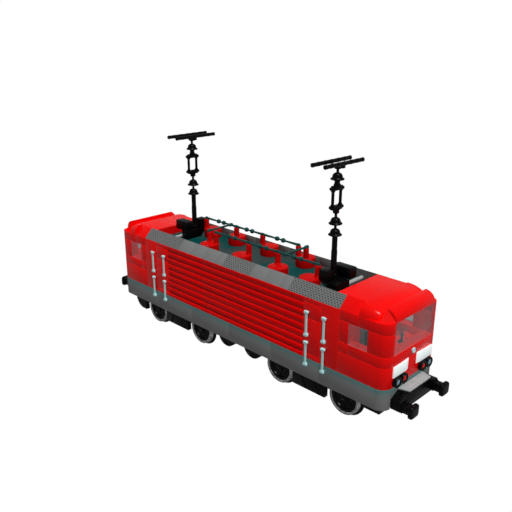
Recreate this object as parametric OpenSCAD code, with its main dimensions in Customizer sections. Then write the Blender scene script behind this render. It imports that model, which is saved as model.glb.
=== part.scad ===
// Brick-built toy electric locomotive on two swinging bogies.
// Origin: middle of the wheelbase, on the rail surface. +X forward, +Y left, +Z up.

/* [Bricks] */
// Width of one brick: wall thickness, corner radius and run of the roof slopes
brick_w = 8; // [6:0.5:9]
// Height of one course of bricks
course_h = 8; // [7:0.5:10]
// Radius of a stud
stud_r = 2.4; // [2:0.1:3]
// Height of a stud
stud_h = 1.7; // [1:0.1:2]

/* [Body] */
// Length over the two end walls
body_l = 304; // [280:4:380]
// Width over the side walls
body_w = 64; // [60:2:80]
// Courses of bricks in the side walls
wall_courses = 6; // [5:1:8]
// Height of the wall foot above the rails
ride_h = 41; // [38:1:50]
// Depth of the side skirts below the wall foot
skirt_h = 16; // [12:1:22]
// Thickness of the side skirts
skirt_t = 4; // [2:0.5:5]
// Spacing of the joints between skirt bricks
skirt_pitch = 48; // [24:4:64]
// Thickness of the underframe plate
floor_t = 8; // [5:0.5:10]
// Thickness of the roof deck
deck_t = 3.2; // [2:0.2:5]

/* [Cabs] */
// Distance from the end wall to the cab's rear edge
cab_l = 40; // [36:1:48]
// Distance from the end wall to the rear edge of the cab roof
cab_roof_l = 48; // [44:1:56]
// Length of the flat front curve of the cab roof
roof_curve_l = 16; // [12:1:20]
// Height of the windscreen sill above the wall foot
sill_h = 24; // [16:1:28]
// Width of a side window
side_window_l = 16; // [10:1:20]
// Height of a side window
side_window_h = 16; // [10:1:20]
// Distance from the end wall to a side window's middle
side_window_x = 24; // [18:1:26]
// Thickness of the window panes
glass_t = 1.6; // [1:0.1:3]

/* [Grilles] */
// Length of the side grille
grille_l = 160; // [80:8:176]
// Depth of the grille panel in the wall
grille_t = 2.4; // [1.5:0.1:4]
// Number of slats
slat_n = 9; // [4:1:14]
// Height of a slat
slat_h = 3; // [2:0.1:4]
// How far the slats stand out of the grille's back
slat_d = 1; // [0.4:0.1:1.4]

/* [End details] */
// Height of the front step plate
step_t = 1.2; // [0.8:0.1:2]
// Drop of the step plate's top below the wall foot
step_drop = 2.7; // [1:0.1:4]
// How far the buffer beam stands out from the end wall
beam_l = 8; // [6:0.5:10]
// Distance between the buffers' middles
buffer_gauge = 40; // [32:1:44]
// Width and height of a buffer shaft
shaft_w = 6; // [4:0.5:7]
// Length of a buffer shaft
shaft_l = 14; // [10:0.5:18]
// Width of a buffer head
head_w = 10; // [8:0.5:12]
// Height of a buffer head
head_h = 9.2; // [7:0.1:11]
// Thickness of a buffer head
head_t = 3.4; // [2:0.1:4]
// Depth of the buffers' middle below the wall foot
buffer_drop = 12.2; // [10:0.1:14]
// Radius of one lamp barrel
lamp_r = 3.9; // [3:0.1:3.9]
// How far a lamp stands out from the end wall
lamp_l = 3; // [2:0.1:5]
// Radius of a lamp glass
lens_r = 2.1; // [1.5:0.1:3]
// Height of one grab rail
rail_h = 20; // [14:0.5:22]
// Radius of a grab rail's bar
rail_r = 0.9; // [0.6:0.1:1.5]

/* [Roof equipment] */
// Radius of a roof drum
drum_r = 8; // [5:0.5:9]
// Distance of the drum rows from the middle line
drum_y = 16; // [14:0.5:16]
// Radius of a post
post_r = 2.3; // [1.5:0.1:3]
// Height of a post above its drum
post_h = 8.8; // [6:0.2:12]
// Distance of the post rows from the middle line
post_y = 12; // [10:0.5:14]
// Radius of the bus bars
bus_r = 0.9; // [0.6:0.1:1.5]
// Distance of a mast from the middle of the locomotive
mast_x = 84; // [80:1:88]
// Sideways offset of a mast from the middle line
mast_y = 4; // [0:1:4]
// Radius of a mast's pole
pole_r = 2; // [1.5:0.1:3]
// Length of a contact bar
contact_l = 43; // [30:1:56]

/* [Running gear] */
// Distance of a bogie's pivot from the middle of the locomotive
bogie_x = 80; // [76:1:100]
// Distance between a bogie's axles
wheelbase = 64; // [58:1:66]
// Radius of the wheel tread
tread_r = 13.1; // [11:0.1:13.5]
// Radius of the wheel flange
flange_r = 15; // [13:0.1:15.5]
// Width of the tread
tread_w = 3.6; // [3:0.1:5]
// Width of the flange
flange_w = 2.4; // [1.5:0.1:3]
// Distance between the wheels' outer faces
wheels_w = 44; // [40:0.5:46]
// Radius of an axle
axle_r = 2; // [1.5:0.1:3]
// Radius of a bogie's pivot pin
pivot_r = 3; // [2:0.1:4]
// Length of a bogie's side panel
panel_l = 32; // [24:1:33]
// Thickness of a bogie's side panel
panel_t = 4; // [2:0.5:5]

/* [Fits] */
// Gap all round a turning pin in its hole
running_gap = 0.05; // [0.02:0.01:0.1]
// Gap between a turning piece and what it rests on
seat_gap = 0.3; // [0.1:0.05:0.5]
// Width of the line between two bricks
joint_w = 0.5; // [0.3:0.1:0.8]
// Depth of the line between two bricks
joint_d = 0.35; // [0.2:0.05:0.6]

/* [Hidden] */

$fn = 48;
eps = 0.01;

red = "#e00000";
dark_grey = "#4e5250";
light_grey = "#b0b4b4";
pale_grey = "#a8c4c4";
black = "#141414";
white = "#f4f8f8";

wall_h = wall_courses * course_h;
half_l = body_l / 2;
half_w = body_w / 2;
inner_w = half_w - brick_w;
wall_top = ride_h + wall_h;
roof_top = wall_top + course_h;
cab_x = half_l - cab_l;
cab_roof_x = half_l - cab_roof_l;
corner_x = half_l - brick_w;
skirt_foot = ride_h - skirt_h;
floor_foot = ride_h - floor_t;
axle_z = flange_r;
frame_foot = axle_z - 5;
frame_top = axle_z + 9;

// Draws its children at the front end and, turned half round, at the rear end.
module both_ends() {
    children();
    rotate([0, 0, 180]) children();
}

// Draws its children on the left and, mirrored, on the right.
module both_sides() {
    children();
    mirror([0, 1, 0]) children();
}

// A box from its lowest to its highest corner.
module span(low, high) {
    translate(low) cube([high[0] - low[0], high[1] - low[1], high[2] - low[2]]);
}

// A shallow upright line cut in the left face at y = half_w.
module upright_joint(x, z0, z1) {
    span([x - joint_w / 2, half_w - joint_d, z0], [x + joint_w / 2, half_w + 1, z1]);
}

// A shallow level line cut in the left face at y = half_w.
module level_joint(x0, x1, z) {
    span([x0, half_w - joint_d, z - joint_w / 2], [x1, half_w + 1, z + joint_w / 2]);
}

// ---------------------------------------------------------------- underframe

boss_r = 8;
boss_foot = frame_top + seat_gap;
pivot_top = ride_h - 3;

module underframe() {
    color(dark_grey)
    difference() {
        union() {
            span([-corner_x, -half_w + skirt_t, floor_foot], [corner_x, half_w - skirt_t, ride_h]);
            for (side = [-1, 1]) {
                translate([side * bogie_x, 0, boss_foot])
                    cylinder(r = boss_r, h = floor_foot - boss_foot + 1);
            }
        }
        for (side = [-1, 1]) {
            translate([side * bogie_x, 0, boss_foot - 1])
                cylinder(r = pivot_r + running_gap, h = pivot_top + seat_gap - boss_foot + 1);
        }
    }
}

// ---------------------------------------------------------------- skirts

module skirt() {
    color(dark_grey)
    difference() {
        span([-corner_x, half_w - skirt_t, skirt_foot], [corner_x, half_w, ride_h]);
        for (x = [0 : skirt_pitch : corner_x - 1]) {
            for (side = [-1, 1]) {
                upright_joint(side * x, skirt_foot - 1, ride_h + 1);
            }
        }
    }
}

// Four quarter rings that carry the skirts round to the end aprons.
module skirt_corners() {
    color(dark_grey)
    both_ends() both_sides()
        translate([corner_x, inner_w, skirt_foot])
        intersection() {
            difference() {
                cylinder(r = brick_w, h = skirt_h);
                translate([0, 0, -1]) cylinder(r = brick_w - skirt_t, h = skirt_h + 2);
            }
            cube([brick_w, brick_w, skirt_h]);
        }
}

module end_aprons() {
    color(dark_grey)
    both_ends()
        span([half_l - skirt_t, -inner_w, floor_foot], [half_l, inner_w, ride_h]);
}

// ---------------------------------------------------------------- side walls

door_x = cab_x - 2 * brick_w;
grille_half = grille_l / 2;

module side_wall() {
    color(red)
    difference() {
        span([-cab_x, inner_w, ride_h], [cab_x, half_w, wall_top]);
        span([-grille_half, half_w - grille_t, ride_h - 1], [grille_half, half_w + 1, wall_top + 1]);
        for (side = [-1, 1]) {
            upright_joint(side * door_x, ride_h - 1, wall_top + 1);
            for (z = [ride_h + course_h / 2, wall_top - course_h / 2]) {
                level_joint(min(side * door_x, side * grille_half), max(side * door_x, side * grille_half), z);
            }
        }
    }
}

slat_pitch = (wall_h - slat_h) / (slat_n - 1);

module side_grille() {
    color(red)
    union() {
        span([-grille_half, half_w - grille_t, ride_h], [grille_half, half_w - slat_d, wall_top]);
        for (i = [0 : slat_n - 1]) {
            translate([0, 0, ride_h + i * slat_pitch])
                span([-grille_half, half_w - slat_d - eps, 0], [grille_half, half_w, slat_h]);
        }
    }
}

// ---------------------------------------------------------------- cabs

window_foot = ride_h + sill_h;
window_mid = half_l - side_window_x;

module cab_side() {
    color(red)
    difference() {
        span([cab_x, inner_w, ride_h], [corner_x, half_w, wall_top]);
        span([window_mid - side_window_l / 2, inner_w - 1, window_foot],
            [window_mid + side_window_l / 2, half_w + 1, window_foot + side_window_h]);
        level_joint(cab_x - 1, corner_x + 1, ride_h + 2 * course_h);
        level_joint(cab_x - 1, corner_x + 1, wall_top - course_h);
        level_joint(window_mid + side_window_l / 2, corner_x + 1, window_foot);
        upright_joint(window_mid - side_window_l / 2, ride_h + 2 * course_h, window_foot);
        upright_joint(window_mid, wall_top - course_h, wall_top + 1);
    }
}

module cab_sides() {
    for (side = [0, 1]) mirror([side, 0, 0]) cab_side();
}

module corner_column() {
    difference() {
        translate([corner_x, inner_w, ride_h])
        intersection() {
            cylinder(r = brick_w, h = wall_h);
            cube([brick_w, brick_w, wall_h]);
        }
        for (z = [2, 3, wall_courses - 1]) {
            translate([corner_x, inner_w, ride_h + z * course_h - joint_w / 2])
            difference() {
                cylinder(r = brick_w + 1, h = joint_w);
                translate([0, 0, -1]) cylinder(r = brick_w - joint_d, h = joint_w + 2);
            }
        }
    }
}

module cab_corner_columns() {
    color(red)
    both_ends() both_sides() corner_column();
}

module cab_fronts() {
    color(red)
    both_ends()
        difference() {
            span([corner_x, -inner_w, ride_h], [half_l, inner_w, ride_h + sill_h]);
            span([half_l - joint_d, -inner_w - 1, ride_h + 2 * course_h - joint_w / 2],
                [half_l + 1, inner_w + 1, ride_h + 2 * course_h + joint_w / 2]);
        }
}

module windscreen() {
    color([0.35, 0.4, 0.42, 0.45])
        span([half_l - glass_t, -inner_w, window_foot], [half_l, inner_w, wall_top]);
}

module side_windows() {
    color([0.35, 0.4, 0.42, 0.45])
    both_ends() both_sides()
        span([window_mid - side_window_l / 2, half_w - 1 - glass_t, window_foot],
            [window_mid + side_window_l / 2, half_w - 1, window_foot + side_window_h]);
}

module cab_bulkheads() {
    color(red)
    both_ends()
        span([cab_x - brick_w, -inner_w, ride_h], [cab_x, inner_w, wall_top - deck_t]);
}

console_l = 12;
console_h = 20;

module cab_consoles() {
    color(red)
    both_ends() {
        span([corner_x - console_l, -inner_w + 2, ride_h], [corner_x, inner_w - 2, ride_h + console_h]);
        translate([corner_x - brick_w / 2, -brick_w / 2, ride_h + console_h - eps])
            cylinder(r = stud_r, h = stud_h + eps);
        translate([corner_x - brick_w / 2, 1.5 * brick_w, ride_h + console_h - eps])
            cylinder(r = stud_r, h = stud_h + eps);
    }
}

seat_x = cab_x + 4;
seat_l = 12;
seat_w = 14;
seat_h = 12;
seat_back_t = 3;

module cab_seats() {
    color(dark_grey)
    both_ends()
        translate([seat_x, 0, ride_h]) {
            span([0, -seat_w / 2, 0], [seat_l, seat_w / 2, seat_h]);
            span([0, -seat_w / 2, seat_h - eps], [seat_back_t, seat_w / 2, 2 * seat_h]);
        }
}

// ---------------------------------------------------------------- cab roof

// Side view of the middle of the cab roof: flat, front curve and brow.
module cab_roof_profile() {
    curve_x = corner_x - roof_curve_l;
    translate([cab_roof_x, 0]) square([curve_x - cab_roof_x, course_h]);
    translate([curve_x - eps, 0]) intersection() {
        scale([roof_curve_l / course_h, 1]) circle(r = course_h);
        square([roof_curve_l + eps, course_h]);
    }
    translate([corner_x, 0]) intersection() {
        scale([brick_w / course_h, 1]) circle(r = course_h);
        square([brick_w, course_h]);
    }
}

// One edge of the cab roof: slope, corner facet and rounded cap.
module cab_roof_edge() {
    dome_l = roof_curve_l - 2;
    hull() {
        translate([cab_x, inner_w, 0]) cube([corner_x - cab_x, eps, course_h]);
        translate([cab_x, inner_w, 0]) cube([corner_x - cab_x, brick_w, eps]);
        translate([corner_x - eps, inner_w, 0]) cube([brick_w, eps, eps]);
    }
    translate([corner_x - roof_curve_l, inner_w, 0])
    intersection() {
        scale([dome_l / brick_w, 1, (course_h - 0.6) / brick_w]) sphere(r = brick_w);
        cube([dome_l, brick_w, course_h]);
    }
}

module cab_roof() {
    color(red)
    translate([0, 0, wall_top])
    union() {
        translate([0, inner_w, 0]) rotate([90, 0, 0])
            linear_extrude(2 * inner_w) cab_roof_profile();
        both_sides() cab_roof_edge();
    }
}

// ---------------------------------------------------------------- roof

vent_end_l = 48;
vent_mid_x0 = -8;
vent_mid_x1 = 24;
panel_ends = [[cab_x - vent_end_l, cab_x], [vent_mid_x0, vent_mid_x1], [-cab_x, -cab_x + vent_end_l]];

// A length of 45 degree roof slope along the right edge.
module roof_slope(x0, x1) {
    translate([x0, 0, wall_top]) rotate([90, 0, 90])
        linear_extrude(x1 - x0)
            polygon([[-half_w, 0], [-inner_w, 0], [-inner_w, course_h]]);
}

module roof_deck() {
    color(dark_grey)
        span([-cab_x, -inner_w, wall_top - deck_t], [cab_x, inner_w, wall_top]);
}

module roof_slopes() {
    color(dark_grey)
    both_ends() {
        roof_slope(vent_mid_x1, cab_x - vent_end_l);
        roof_slope(-cab_x + vent_end_l, vent_mid_x0);
    }
}

module roof_vents() {
    color(dark_grey)
    both_ends()
        for (ends = panel_ends) roof_slope(ends[0], ends[1]);
}

// ---------------------------------------------------------------- roof drums and bus bars

drum_pitch = 40;
end_drum_x = 72;
drum_h = course_h;
post_dx = 4;
near_drums = [-drum_pitch, 0, drum_pitch, end_drum_x];
near_posts = [-drum_pitch - post_dx, -drum_pitch + post_dx, post_dx, drum_pitch - post_dx, end_drum_x + post_dx];
bus_z = roof_top + post_h + bus_r;
bus_ring_r = 2 * bus_r;
bus_ring_l = 2;
bus_ring_dx = 3;

module roof_drums() {
    color(red)
    both_ends()
        for (x = near_drums) {
            translate([x, -drum_y, wall_top]) cylinder(r = drum_r, h = drum_h);
        }
}

module drum_posts() {
    color(red)
    both_ends()
        for (x = near_posts) {
            translate([x, -post_y, wall_top + drum_h]) cylinder(r = post_r, h = post_h);
        }
}

// A rod along X with two small rings near its middle.
module bus_rod(x0, x1) {
    translate([x0, 0, 0]) rotate([0, 90, 0]) cylinder(r = bus_r, h = x1 - x0);
    for (side = [-1, 1]) {
        translate([(x0 + x1) / 2 + side * bus_ring_dx - bus_ring_l / 2, 0, 0]) rotate([0, 90, 0])
            cylinder(r = bus_ring_r, h = bus_ring_l);
    }
}

module bus_bars() {
    color(dark_grey)
    both_ends() translate([0, -post_y, bus_z]) {
        for (i = [1 : 3]) bus_rod(near_posts[i], near_posts[i + 1]);
        translate([near_posts[0], 0, 0]) rotate([-90, 0, 0]) cylinder(r = bus_r, h = 2 * post_y);
    }
}

bar_r = 1.6;
bar_x = 90;

module deck_bars() {
    color(light_grey)
    both_ends()
        translate([bar_x, seat_gap / 2, wall_top + bar_r]) rotate([-90, 0, 0])
            cylinder(r = bar_r, h = inner_w - seat_gap / 2);
}

// ---------------------------------------------------------------- masts

collar_wall = 0.8;
collar_r = stud_r + collar_wall;
collar_h = 3.2;
mast_foot = wall_top + 2 * course_h;
mast_seat = wall_top + course_h;
base_x = mast_x - brick_w / 2;
base_back = base_x + 2 * brick_w;

// A base of bricks on the deck, with an inverted slope towards the right and a
// channel across the top, in which the mast stands on its stud.
module mast_base() {
    color(black)
    union() {
        translate([base_x, 0, 0]) rotate([90, 0, 90])
            linear_extrude(brick_w)
                polygon([[-brick_w, wall_top], [brick_w, wall_top], [brick_w, mast_foot],
                    [0, mast_foot], [0, mast_seat], [-brick_w, mast_seat], [-brick_w, mast_foot],
                    [-2 * brick_w, mast_foot], [-2 * brick_w, mast_seat]]);
        span([base_x, 0, mast_seat], [base_back, brick_w, mast_foot]);
        span([base_back - brick_w, seat_gap - 2 * brick_w, wall_top],
            [base_back, -seat_gap, mast_seat - seat_gap]);
        translate([mast_x, -mast_y, mast_seat - eps]) cylinder(r = stud_r, h = stud_h + eps);
    }
}

// Heights of the mast's pieces above its foot.
dish_1 = 24;
dish_2 = 32.3;
cup_z = 40.4;
yoke_z = 46;
yoke_top = 57.2;
dish_3 = 64.4;
head_z = 72;
bars_z = 76.5;

brim_r = 5;
brim_t = 1.4;
dome_r = 3.6;
dome_h = 5.2;
neck_r = 1;
cup_r = 2.3;
yoke_w = 12;
yoke_t = 2.2;
yoke_l = 4.4;
yoke_rod_y = 4;
yoke_rod_r = 1.1;
contact_r = 1.6;
contact_dx = 5.5;
crosshead_t = 1.9;
crosshead_w = 3;

// A round brim with a dome on it.
module insulator(z) {
    translate([0, 0, z]) cylinder(r = brim_r, h = brim_t);
    translate([0, 0, z + brim_t - eps]) cylinder(r1 = brim_r - 0.4, r2 = dome_r, h = 2 + eps);
    translate([0, 0, z + brim_t + 2 - eps]) cylinder(r = dome_r, h = dome_h - brim_t - 2 + eps);
}

// A round rod from one height to the next, let into both.
module upright(r, z0, z1) {
    translate([0, 0, z0 - eps]) cylinder(r = r, h = z1 - z0 + 2 * eps);
}

module mast() {
    color(black)
    translate([mast_x, -mast_y, mast_foot])
    difference() {
        union() {
            translate([0, 0, seat_gap - course_h]) cylinder(r = collar_r, h = collar_h - seat_gap);
            upright(pole_r, collar_h - course_h, dish_1);
            upright(neck_r, dish_1 + dome_h, dish_2);
            upright(neck_r, dish_2 + dome_h, cup_z);
            upright(cup_r, cup_z, yoke_z - yoke_t);
            upright(cup_r, yoke_top + yoke_t, dish_3);
            upright(neck_r, dish_3 + dome_h, head_z);
            upright(cup_r, head_z, bars_z - contact_r - crosshead_t);
            for (z = [dish_1, dish_2, dish_3]) insulator(z);
            for (z = [yoke_z - yoke_t, yoke_top]) {
                translate([-yoke_l / 2, -yoke_w / 2, z]) cube([yoke_l, yoke_w, yoke_t]);
            }
            for (y = [-yoke_rod_y, yoke_rod_y]) {
                translate([0, y, 0]) upright(yoke_rod_r, yoke_z, yoke_top);
            }
            translate([-contact_dx, -crosshead_w / 2, bars_z - contact_r - crosshead_t])
                cube([2 * contact_dx, crosshead_w, crosshead_t]);
        }
        translate([0, 0, -course_h - 1])
            cylinder(r = stud_r + running_gap, h = stud_h + seat_gap + 1);
    }
}

module contact_bars() {
    color(black)
    translate([mast_x, -mast_y, mast_foot + bars_z])
        for (x = [-contact_dx, contact_dx]) {
            translate([x, -contact_l / 2, 0]) rotate([-90, 0, 0]) cylinder(r = contact_r, h = contact_l);
        }
}

// ---------------------------------------------------------------- ends

step_half = 16;
step_top = ride_h - step_drop;
beam_top = step_top - step_t;
buffer_z = ride_h - buffer_drop;
head_back = half_l + shaft_l;

module buffer_beam() {
    outer = buffer_gauge / 2 + shaft_w / 2 + 1;
    color(black)
        translate([half_l, 0, 0]) rotate([90, 0, 90])
            linear_extrude(beam_l)
                polygon([[-step_half, beam_top], [step_half, beam_top],
                    [outer, buffer_z + shaft_w / 2 + 1], [outer, buffer_z - shaft_w / 2],
                    [-outer, buffer_z - shaft_w / 2], [-outer, buffer_z + shaft_w / 2 + 1]]);
}

module buffers() {
    color(black)
    both_ends() both_sides()
        translate([0, buffer_gauge / 2, buffer_z]) {
            span([half_l + beam_l, -shaft_w / 2, -shaft_w / 2], [head_back + eps, shaft_w / 2, shaft_w / 2]);
            span([head_back, -head_w / 2, -head_h / 2], [head_back + head_t, head_w / 2, head_h / 2]);
        }
}

module end_steps() {
    color(light_grey)
    both_ends()
        translate([0, 0, beam_top])
            linear_extrude(step_t)
                polygon([[half_l, -step_half], [half_l + beam_l, -step_half + 2.6],
                    [half_l + beam_l, step_half - 2.6], [half_l, step_half]]);
}

panel_stand = 1;
panel_tip_y = 5;

module white_panels() {
    color(white)
    both_ends() both_sides()
        translate([half_l, 0, ride_h + course_h])
            linear_extrude(course_h)
                polygon([[0, panel_tip_y], [0, inner_w], [panel_stand, inner_w], [panel_stand, brick_w]]);
}

module end_badges() {
    color(pale_grey)
    both_ends()
        translate([half_l, 0, ride_h + 2.5 * course_h]) rotate([0, 90, 0])
            cylinder(r = 2, h = 1);
}

lamp_z = ride_h + course_h - lamp_r - seat_gap / 2;
lamp_outer = 20;
lamp_inner = 12;

module lamp_housings() {
    color(black)
    both_ends() both_sides()
        difference() {
            union() {
                for (y = [lamp_inner, lamp_outer]) {
                    translate([half_l, y, lamp_z]) rotate([0, 90, 0])
                        cylinder(r = lamp_r, h = lamp_l);
                }
                span([half_l, lamp_inner, lamp_z - lamp_r], [half_l + 1.5, lamp_outer, lamp_z + lamp_r]);
            }
            for (y = [lamp_inner, lamp_outer]) {
                translate([half_l + lamp_l - 1, y, lamp_z]) rotate([0, 90, 0])
                    cylinder(r = lens_r, h = 2);
            }
        }
}

module lamp_glasses(y) {
    both_ends() both_sides()
        translate([half_l + lamp_l - 1, y, lamp_z]) rotate([0, 90, 0])
            cylinder(r = lens_r, h = 0.8);
}

module headlight_glasses() {
    color(white) lamp_glasses(lamp_outer);
}

module tail_light_glasses() {
    color(red) lamp_glasses(lamp_inner);
}

// ---------------------------------------------------------------- grab rails

rail_foot_l = 2.6;
rail_foot_w = 3;
rail_stand = 2.2;
upper_rail_z = ride_h + 18.2;
lower_rail_z = ride_h - 5.7;
rail_places = [cab_x - 1.5 * brick_w, cab_x - 3.5 * brick_w];

// An upright rail on two square feet.
module grab_rail(x, z) {
    translate([x, half_w, z]) {
        for (foot = [0, rail_h - rail_foot_l]) {
            translate([-rail_foot_w / 2, 0, foot]) cube([rail_foot_w, rail_stand, rail_foot_l]);
        }
        translate([0, rail_stand - rail_r, rail_foot_l - eps])
            cylinder(r = rail_r, h = rail_h - 2 * rail_foot_l + 2 * eps);
    }
}

module grab_rails() {
    color(pale_grey)
        for (x = rail_places, side = [-1, 1], z = [upper_rail_z, lower_rail_z]) {
            grab_rail(side * x, z);
        }
}

// ---------------------------------------------------------------- underfloor

box_half_l = 28;
box_half_w = 16;
box_foot = ride_h - 24;
tank_r = 10;
tank_z = ride_h - 18.5;
tank_places = [-12, 19];
tank_l = 8;

module underfloor_box() {
    color(black)
        span([-box_half_l, -box_half_w, box_foot], [box_half_l, box_half_w, floor_foot]);
}

module underfloor_tanks() {
    color(black)
    both_ends()
        for (x = tank_places) {
            translate([x, -box_half_w - tank_l, tank_z]) rotate([-90, 0, 0])
                cylinder(r = tank_r, h = tank_l);
        }
}

// ---------------------------------------------------------------- bogies

beam_half_w = 13;
beam_end = wheelbase / 2 + 8;
bolster_half = 8;
panel_foot = ride_h - 32;
panel_top = ride_h - 20.5;
panel_y = 24;
guard_x = wheelbase / 2 + flange_r + 1.5;
guard_end = 64;
guard_foot = ride_h - 24;
block_foot = ride_h - 31;
block_r = panel_top - block_foot;

// Side view of the block at one end of the guard, rounded at its outer foot.
module guard_block_profile() {
    translate([guard_x, -block_r]) square([guard_end - block_r - guard_x + eps, block_r]);
    translate([guard_end - block_r, 0]) intersection() {
        circle(r = block_r);
        translate([0, -block_r]) square([block_r, block_r]);
    }
}

// A bogie frame about its pivot, its outer end towards +X.
module bogie_frame() {
    difference() {
        union() {
            span([-beam_end, -beam_half_w, frame_foot], [beam_end, beam_half_w, frame_top]);
            span([-bolster_half, -panel_y + panel_t, frame_foot + 1],
                [bolster_half, panel_y - panel_t, panel_top]);
            span([beam_end - 1, -6, guard_foot], [guard_end, 6, panel_top]);
            span([guard_x, -panel_y, guard_foot], [guard_end, panel_y, panel_top]);
            translate([0, panel_y, panel_top]) rotate([90, 0, 0])
                linear_extrude(panel_t) guard_block_profile();
            translate([0, 0, frame_top - 1]) cylinder(r = pivot_r, h = pivot_top - frame_top + 1);
        }
        for (side = [-1, 1]) {
            translate([side * wheelbase / 2, -beam_half_w - 1, axle_z]) rotate([-90, 0, 0])
                cylinder(r = axle_r + running_gap, h = 2 * beam_half_w + 2);
        }
    }
}

module bogie_sides() {
    for (side = [-1, 1]) {
        translate([-panel_l / 2, side > 0 ? panel_y - panel_t : -panel_y, panel_foot])
            cube([panel_l, panel_t, panel_top - panel_foot]);
    }
}

module bogie_frame_front() {
    color(black) translate([bogie_x, 0, 0]) bogie_frame();
}

module bogie_frame_rear() {
    color(black) rotate([0, 0, 180]) translate([bogie_x, 0, 0]) bogie_frame();
}

module bogie_sides_front() {
    color(black) translate([bogie_x, 0, 0]) bogie_sides();
}

module bogie_sides_rear() {
    color(black) rotate([0, 0, 180]) translate([bogie_x, 0, 0]) bogie_sides();
}

// ---------------------------------------------------------------- wheels

ring_t = 2.1;
hub_r = tread_r - ring_t;
dish_r = 8.6;
dish_d = 1.4;
wheel_mid = wheels_w / 2;

// One wheel centre with its flange, on the left end of an axle.
module wheel_centre() {
    difference() {
        union() {
            translate([0, wheel_mid - tread_w - flange_w, 0]) rotate([-90, 0, 0])
                cylinder(r = flange_r, h = flange_w);
            translate([0, wheel_mid - tread_w - eps, 0]) rotate([-90, 0, 0])
                cylinder(r = hub_r - running_gap, h = tread_w + eps);
        }
        translate([0, wheel_mid - dish_d, 0]) rotate([-90, 0, 0])
            cylinder(r = dish_r, h = dish_d + 1);
    }
    translate([0, wheel_mid - dish_d - eps, 0]) rotate([-90, 0, 0])
        cylinder(r = 3, h = dish_d + eps);
}

// Places its children at axle number i, counted from the front.
module at_axle(i) {
    x = (i < 3 ? bogie_x : -bogie_x) + (i % 2 == 1 ? 1 : -1) * wheelbase / 2;
    translate([x, 0, axle_z]) children();
}

module wheelset(i) {
    color(black)
    at_axle(i) {
        both_sides() wheel_centre();
        rotate([90, 0, 0]) translate([0, 0, -wheel_mid + dish_d + 1])
            cylinder(r = axle_r, h = 2 * (wheel_mid - dish_d - 1));
    }
}

module tread_rings(i) {
    color(light_grey)
    at_axle(i)
        both_sides()
            translate([0, wheel_mid - tread_w, 0]) rotate([-90, 0, 0])
                difference() {
                    cylinder(r = tread_r, h = tread_w);
                    translate([0, 0, -1]) cylinder(r = hub_r, h = tread_w + 2);
                }
}

// ---------------------------------------------------------------- nodes

underframe();
skirt();  // skirt_left
mirror([0, 1, 0]) skirt();  // skirt_right
skirt_corners();
end_aprons();
side_wall();  // side_wall_left
mirror([0, 1, 0]) side_wall();  // side_wall_right
side_grille();  // side_grille_left
mirror([0, 1, 0]) side_grille();  // side_grille_right
cab_sides();  // cab_sides_left
mirror([0, 1, 0]) cab_sides();  // cab_sides_right
cab_corner_columns();
cab_fronts();
windscreen();  // windscreen_front
rotate([0, 0, 180]) windscreen();  // windscreen_rear
side_windows();
cab_bulkheads();
cab_consoles();
cab_seats();
roof_deck();
roof_slopes();
roof_vents();
cab_roof();  // cab_roof_front
rotate([0, 0, 180]) cab_roof();  // cab_roof_rear
roof_drums();
drum_posts();
bus_bars();
deck_bars();
mast_base();  // mast_base_front
rotate([0, 0, 180]) mast_base();  // mast_base_rear
mast();  // mast_front
rotate([0, 0, 180]) mast();  // mast_rear
contact_bars();  // contact_bars_front
rotate([0, 0, 180]) contact_bars();  // contact_bars_rear
buffer_beam();  // buffer_beam_front
rotate([0, 0, 180]) buffer_beam();  // buffer_beam_rear
buffers();
end_steps();
white_panels();
end_badges();
lamp_housings();
headlight_glasses();
tail_light_glasses();
grab_rails();  // grab_rails_left
mirror([0, 1, 0]) grab_rails();  // grab_rails_right
underfloor_box();
underfloor_tanks();
bogie_frame_front();
bogie_frame_rear();
bogie_sides_front();
bogie_sides_rear();
wheelset(1);  // wheelset_1
wheelset(2);  // wheelset_2
wheelset(3);  // wheelset_3
wheelset(4);  // wheelset_4
tread_rings(1);  // tread_rings_1
tread_rings(2);  // tread_rings_2
tread_rings(3);  // tread_rings_3
tread_rings(4);  // tread_rings_4
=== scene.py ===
"""Looks of a brick-built toy electric locomotive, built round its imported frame.

Every shape is worked out in millimetres with numpy and put into a mesh in metres. The frame's own
boxes give the places, and the property groups below give the sizes and colours a user would change.
"""

import math

import bpy
import numpy as np
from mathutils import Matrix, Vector


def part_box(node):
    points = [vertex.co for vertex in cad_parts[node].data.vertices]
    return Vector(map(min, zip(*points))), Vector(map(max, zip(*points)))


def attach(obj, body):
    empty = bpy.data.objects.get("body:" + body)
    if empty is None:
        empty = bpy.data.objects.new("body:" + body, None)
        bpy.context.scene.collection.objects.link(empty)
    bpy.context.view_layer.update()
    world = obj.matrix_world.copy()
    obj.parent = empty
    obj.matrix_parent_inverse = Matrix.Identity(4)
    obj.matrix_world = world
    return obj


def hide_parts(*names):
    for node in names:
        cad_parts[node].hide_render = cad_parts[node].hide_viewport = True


bl_info = {
    "name": "Toy Electric Locomotive Looks",
    "version": (1, 0, 0),
    "blender": (4, 5, 0),
    "location": "View3D > Sidebar > Locomotive",
    "description": "Detailed bricks, roof gear, wheels and finishes for a toy electric locomotive",
    "category": "Add Mesh",
}

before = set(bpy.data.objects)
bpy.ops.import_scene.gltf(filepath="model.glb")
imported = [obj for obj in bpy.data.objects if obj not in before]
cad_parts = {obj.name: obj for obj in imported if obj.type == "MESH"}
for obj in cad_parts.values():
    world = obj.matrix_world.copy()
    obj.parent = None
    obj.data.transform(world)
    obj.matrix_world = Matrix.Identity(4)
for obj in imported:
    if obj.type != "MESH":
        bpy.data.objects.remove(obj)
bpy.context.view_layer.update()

MM = 0.001


def edges(node):
    """Lowest and highest corner of a CAD node, in millimetres."""
    low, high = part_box(node)
    return np.array(low) / MM, np.array(high) / MM


# ---------------------------------------------------------------- places taken from the frame

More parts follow.
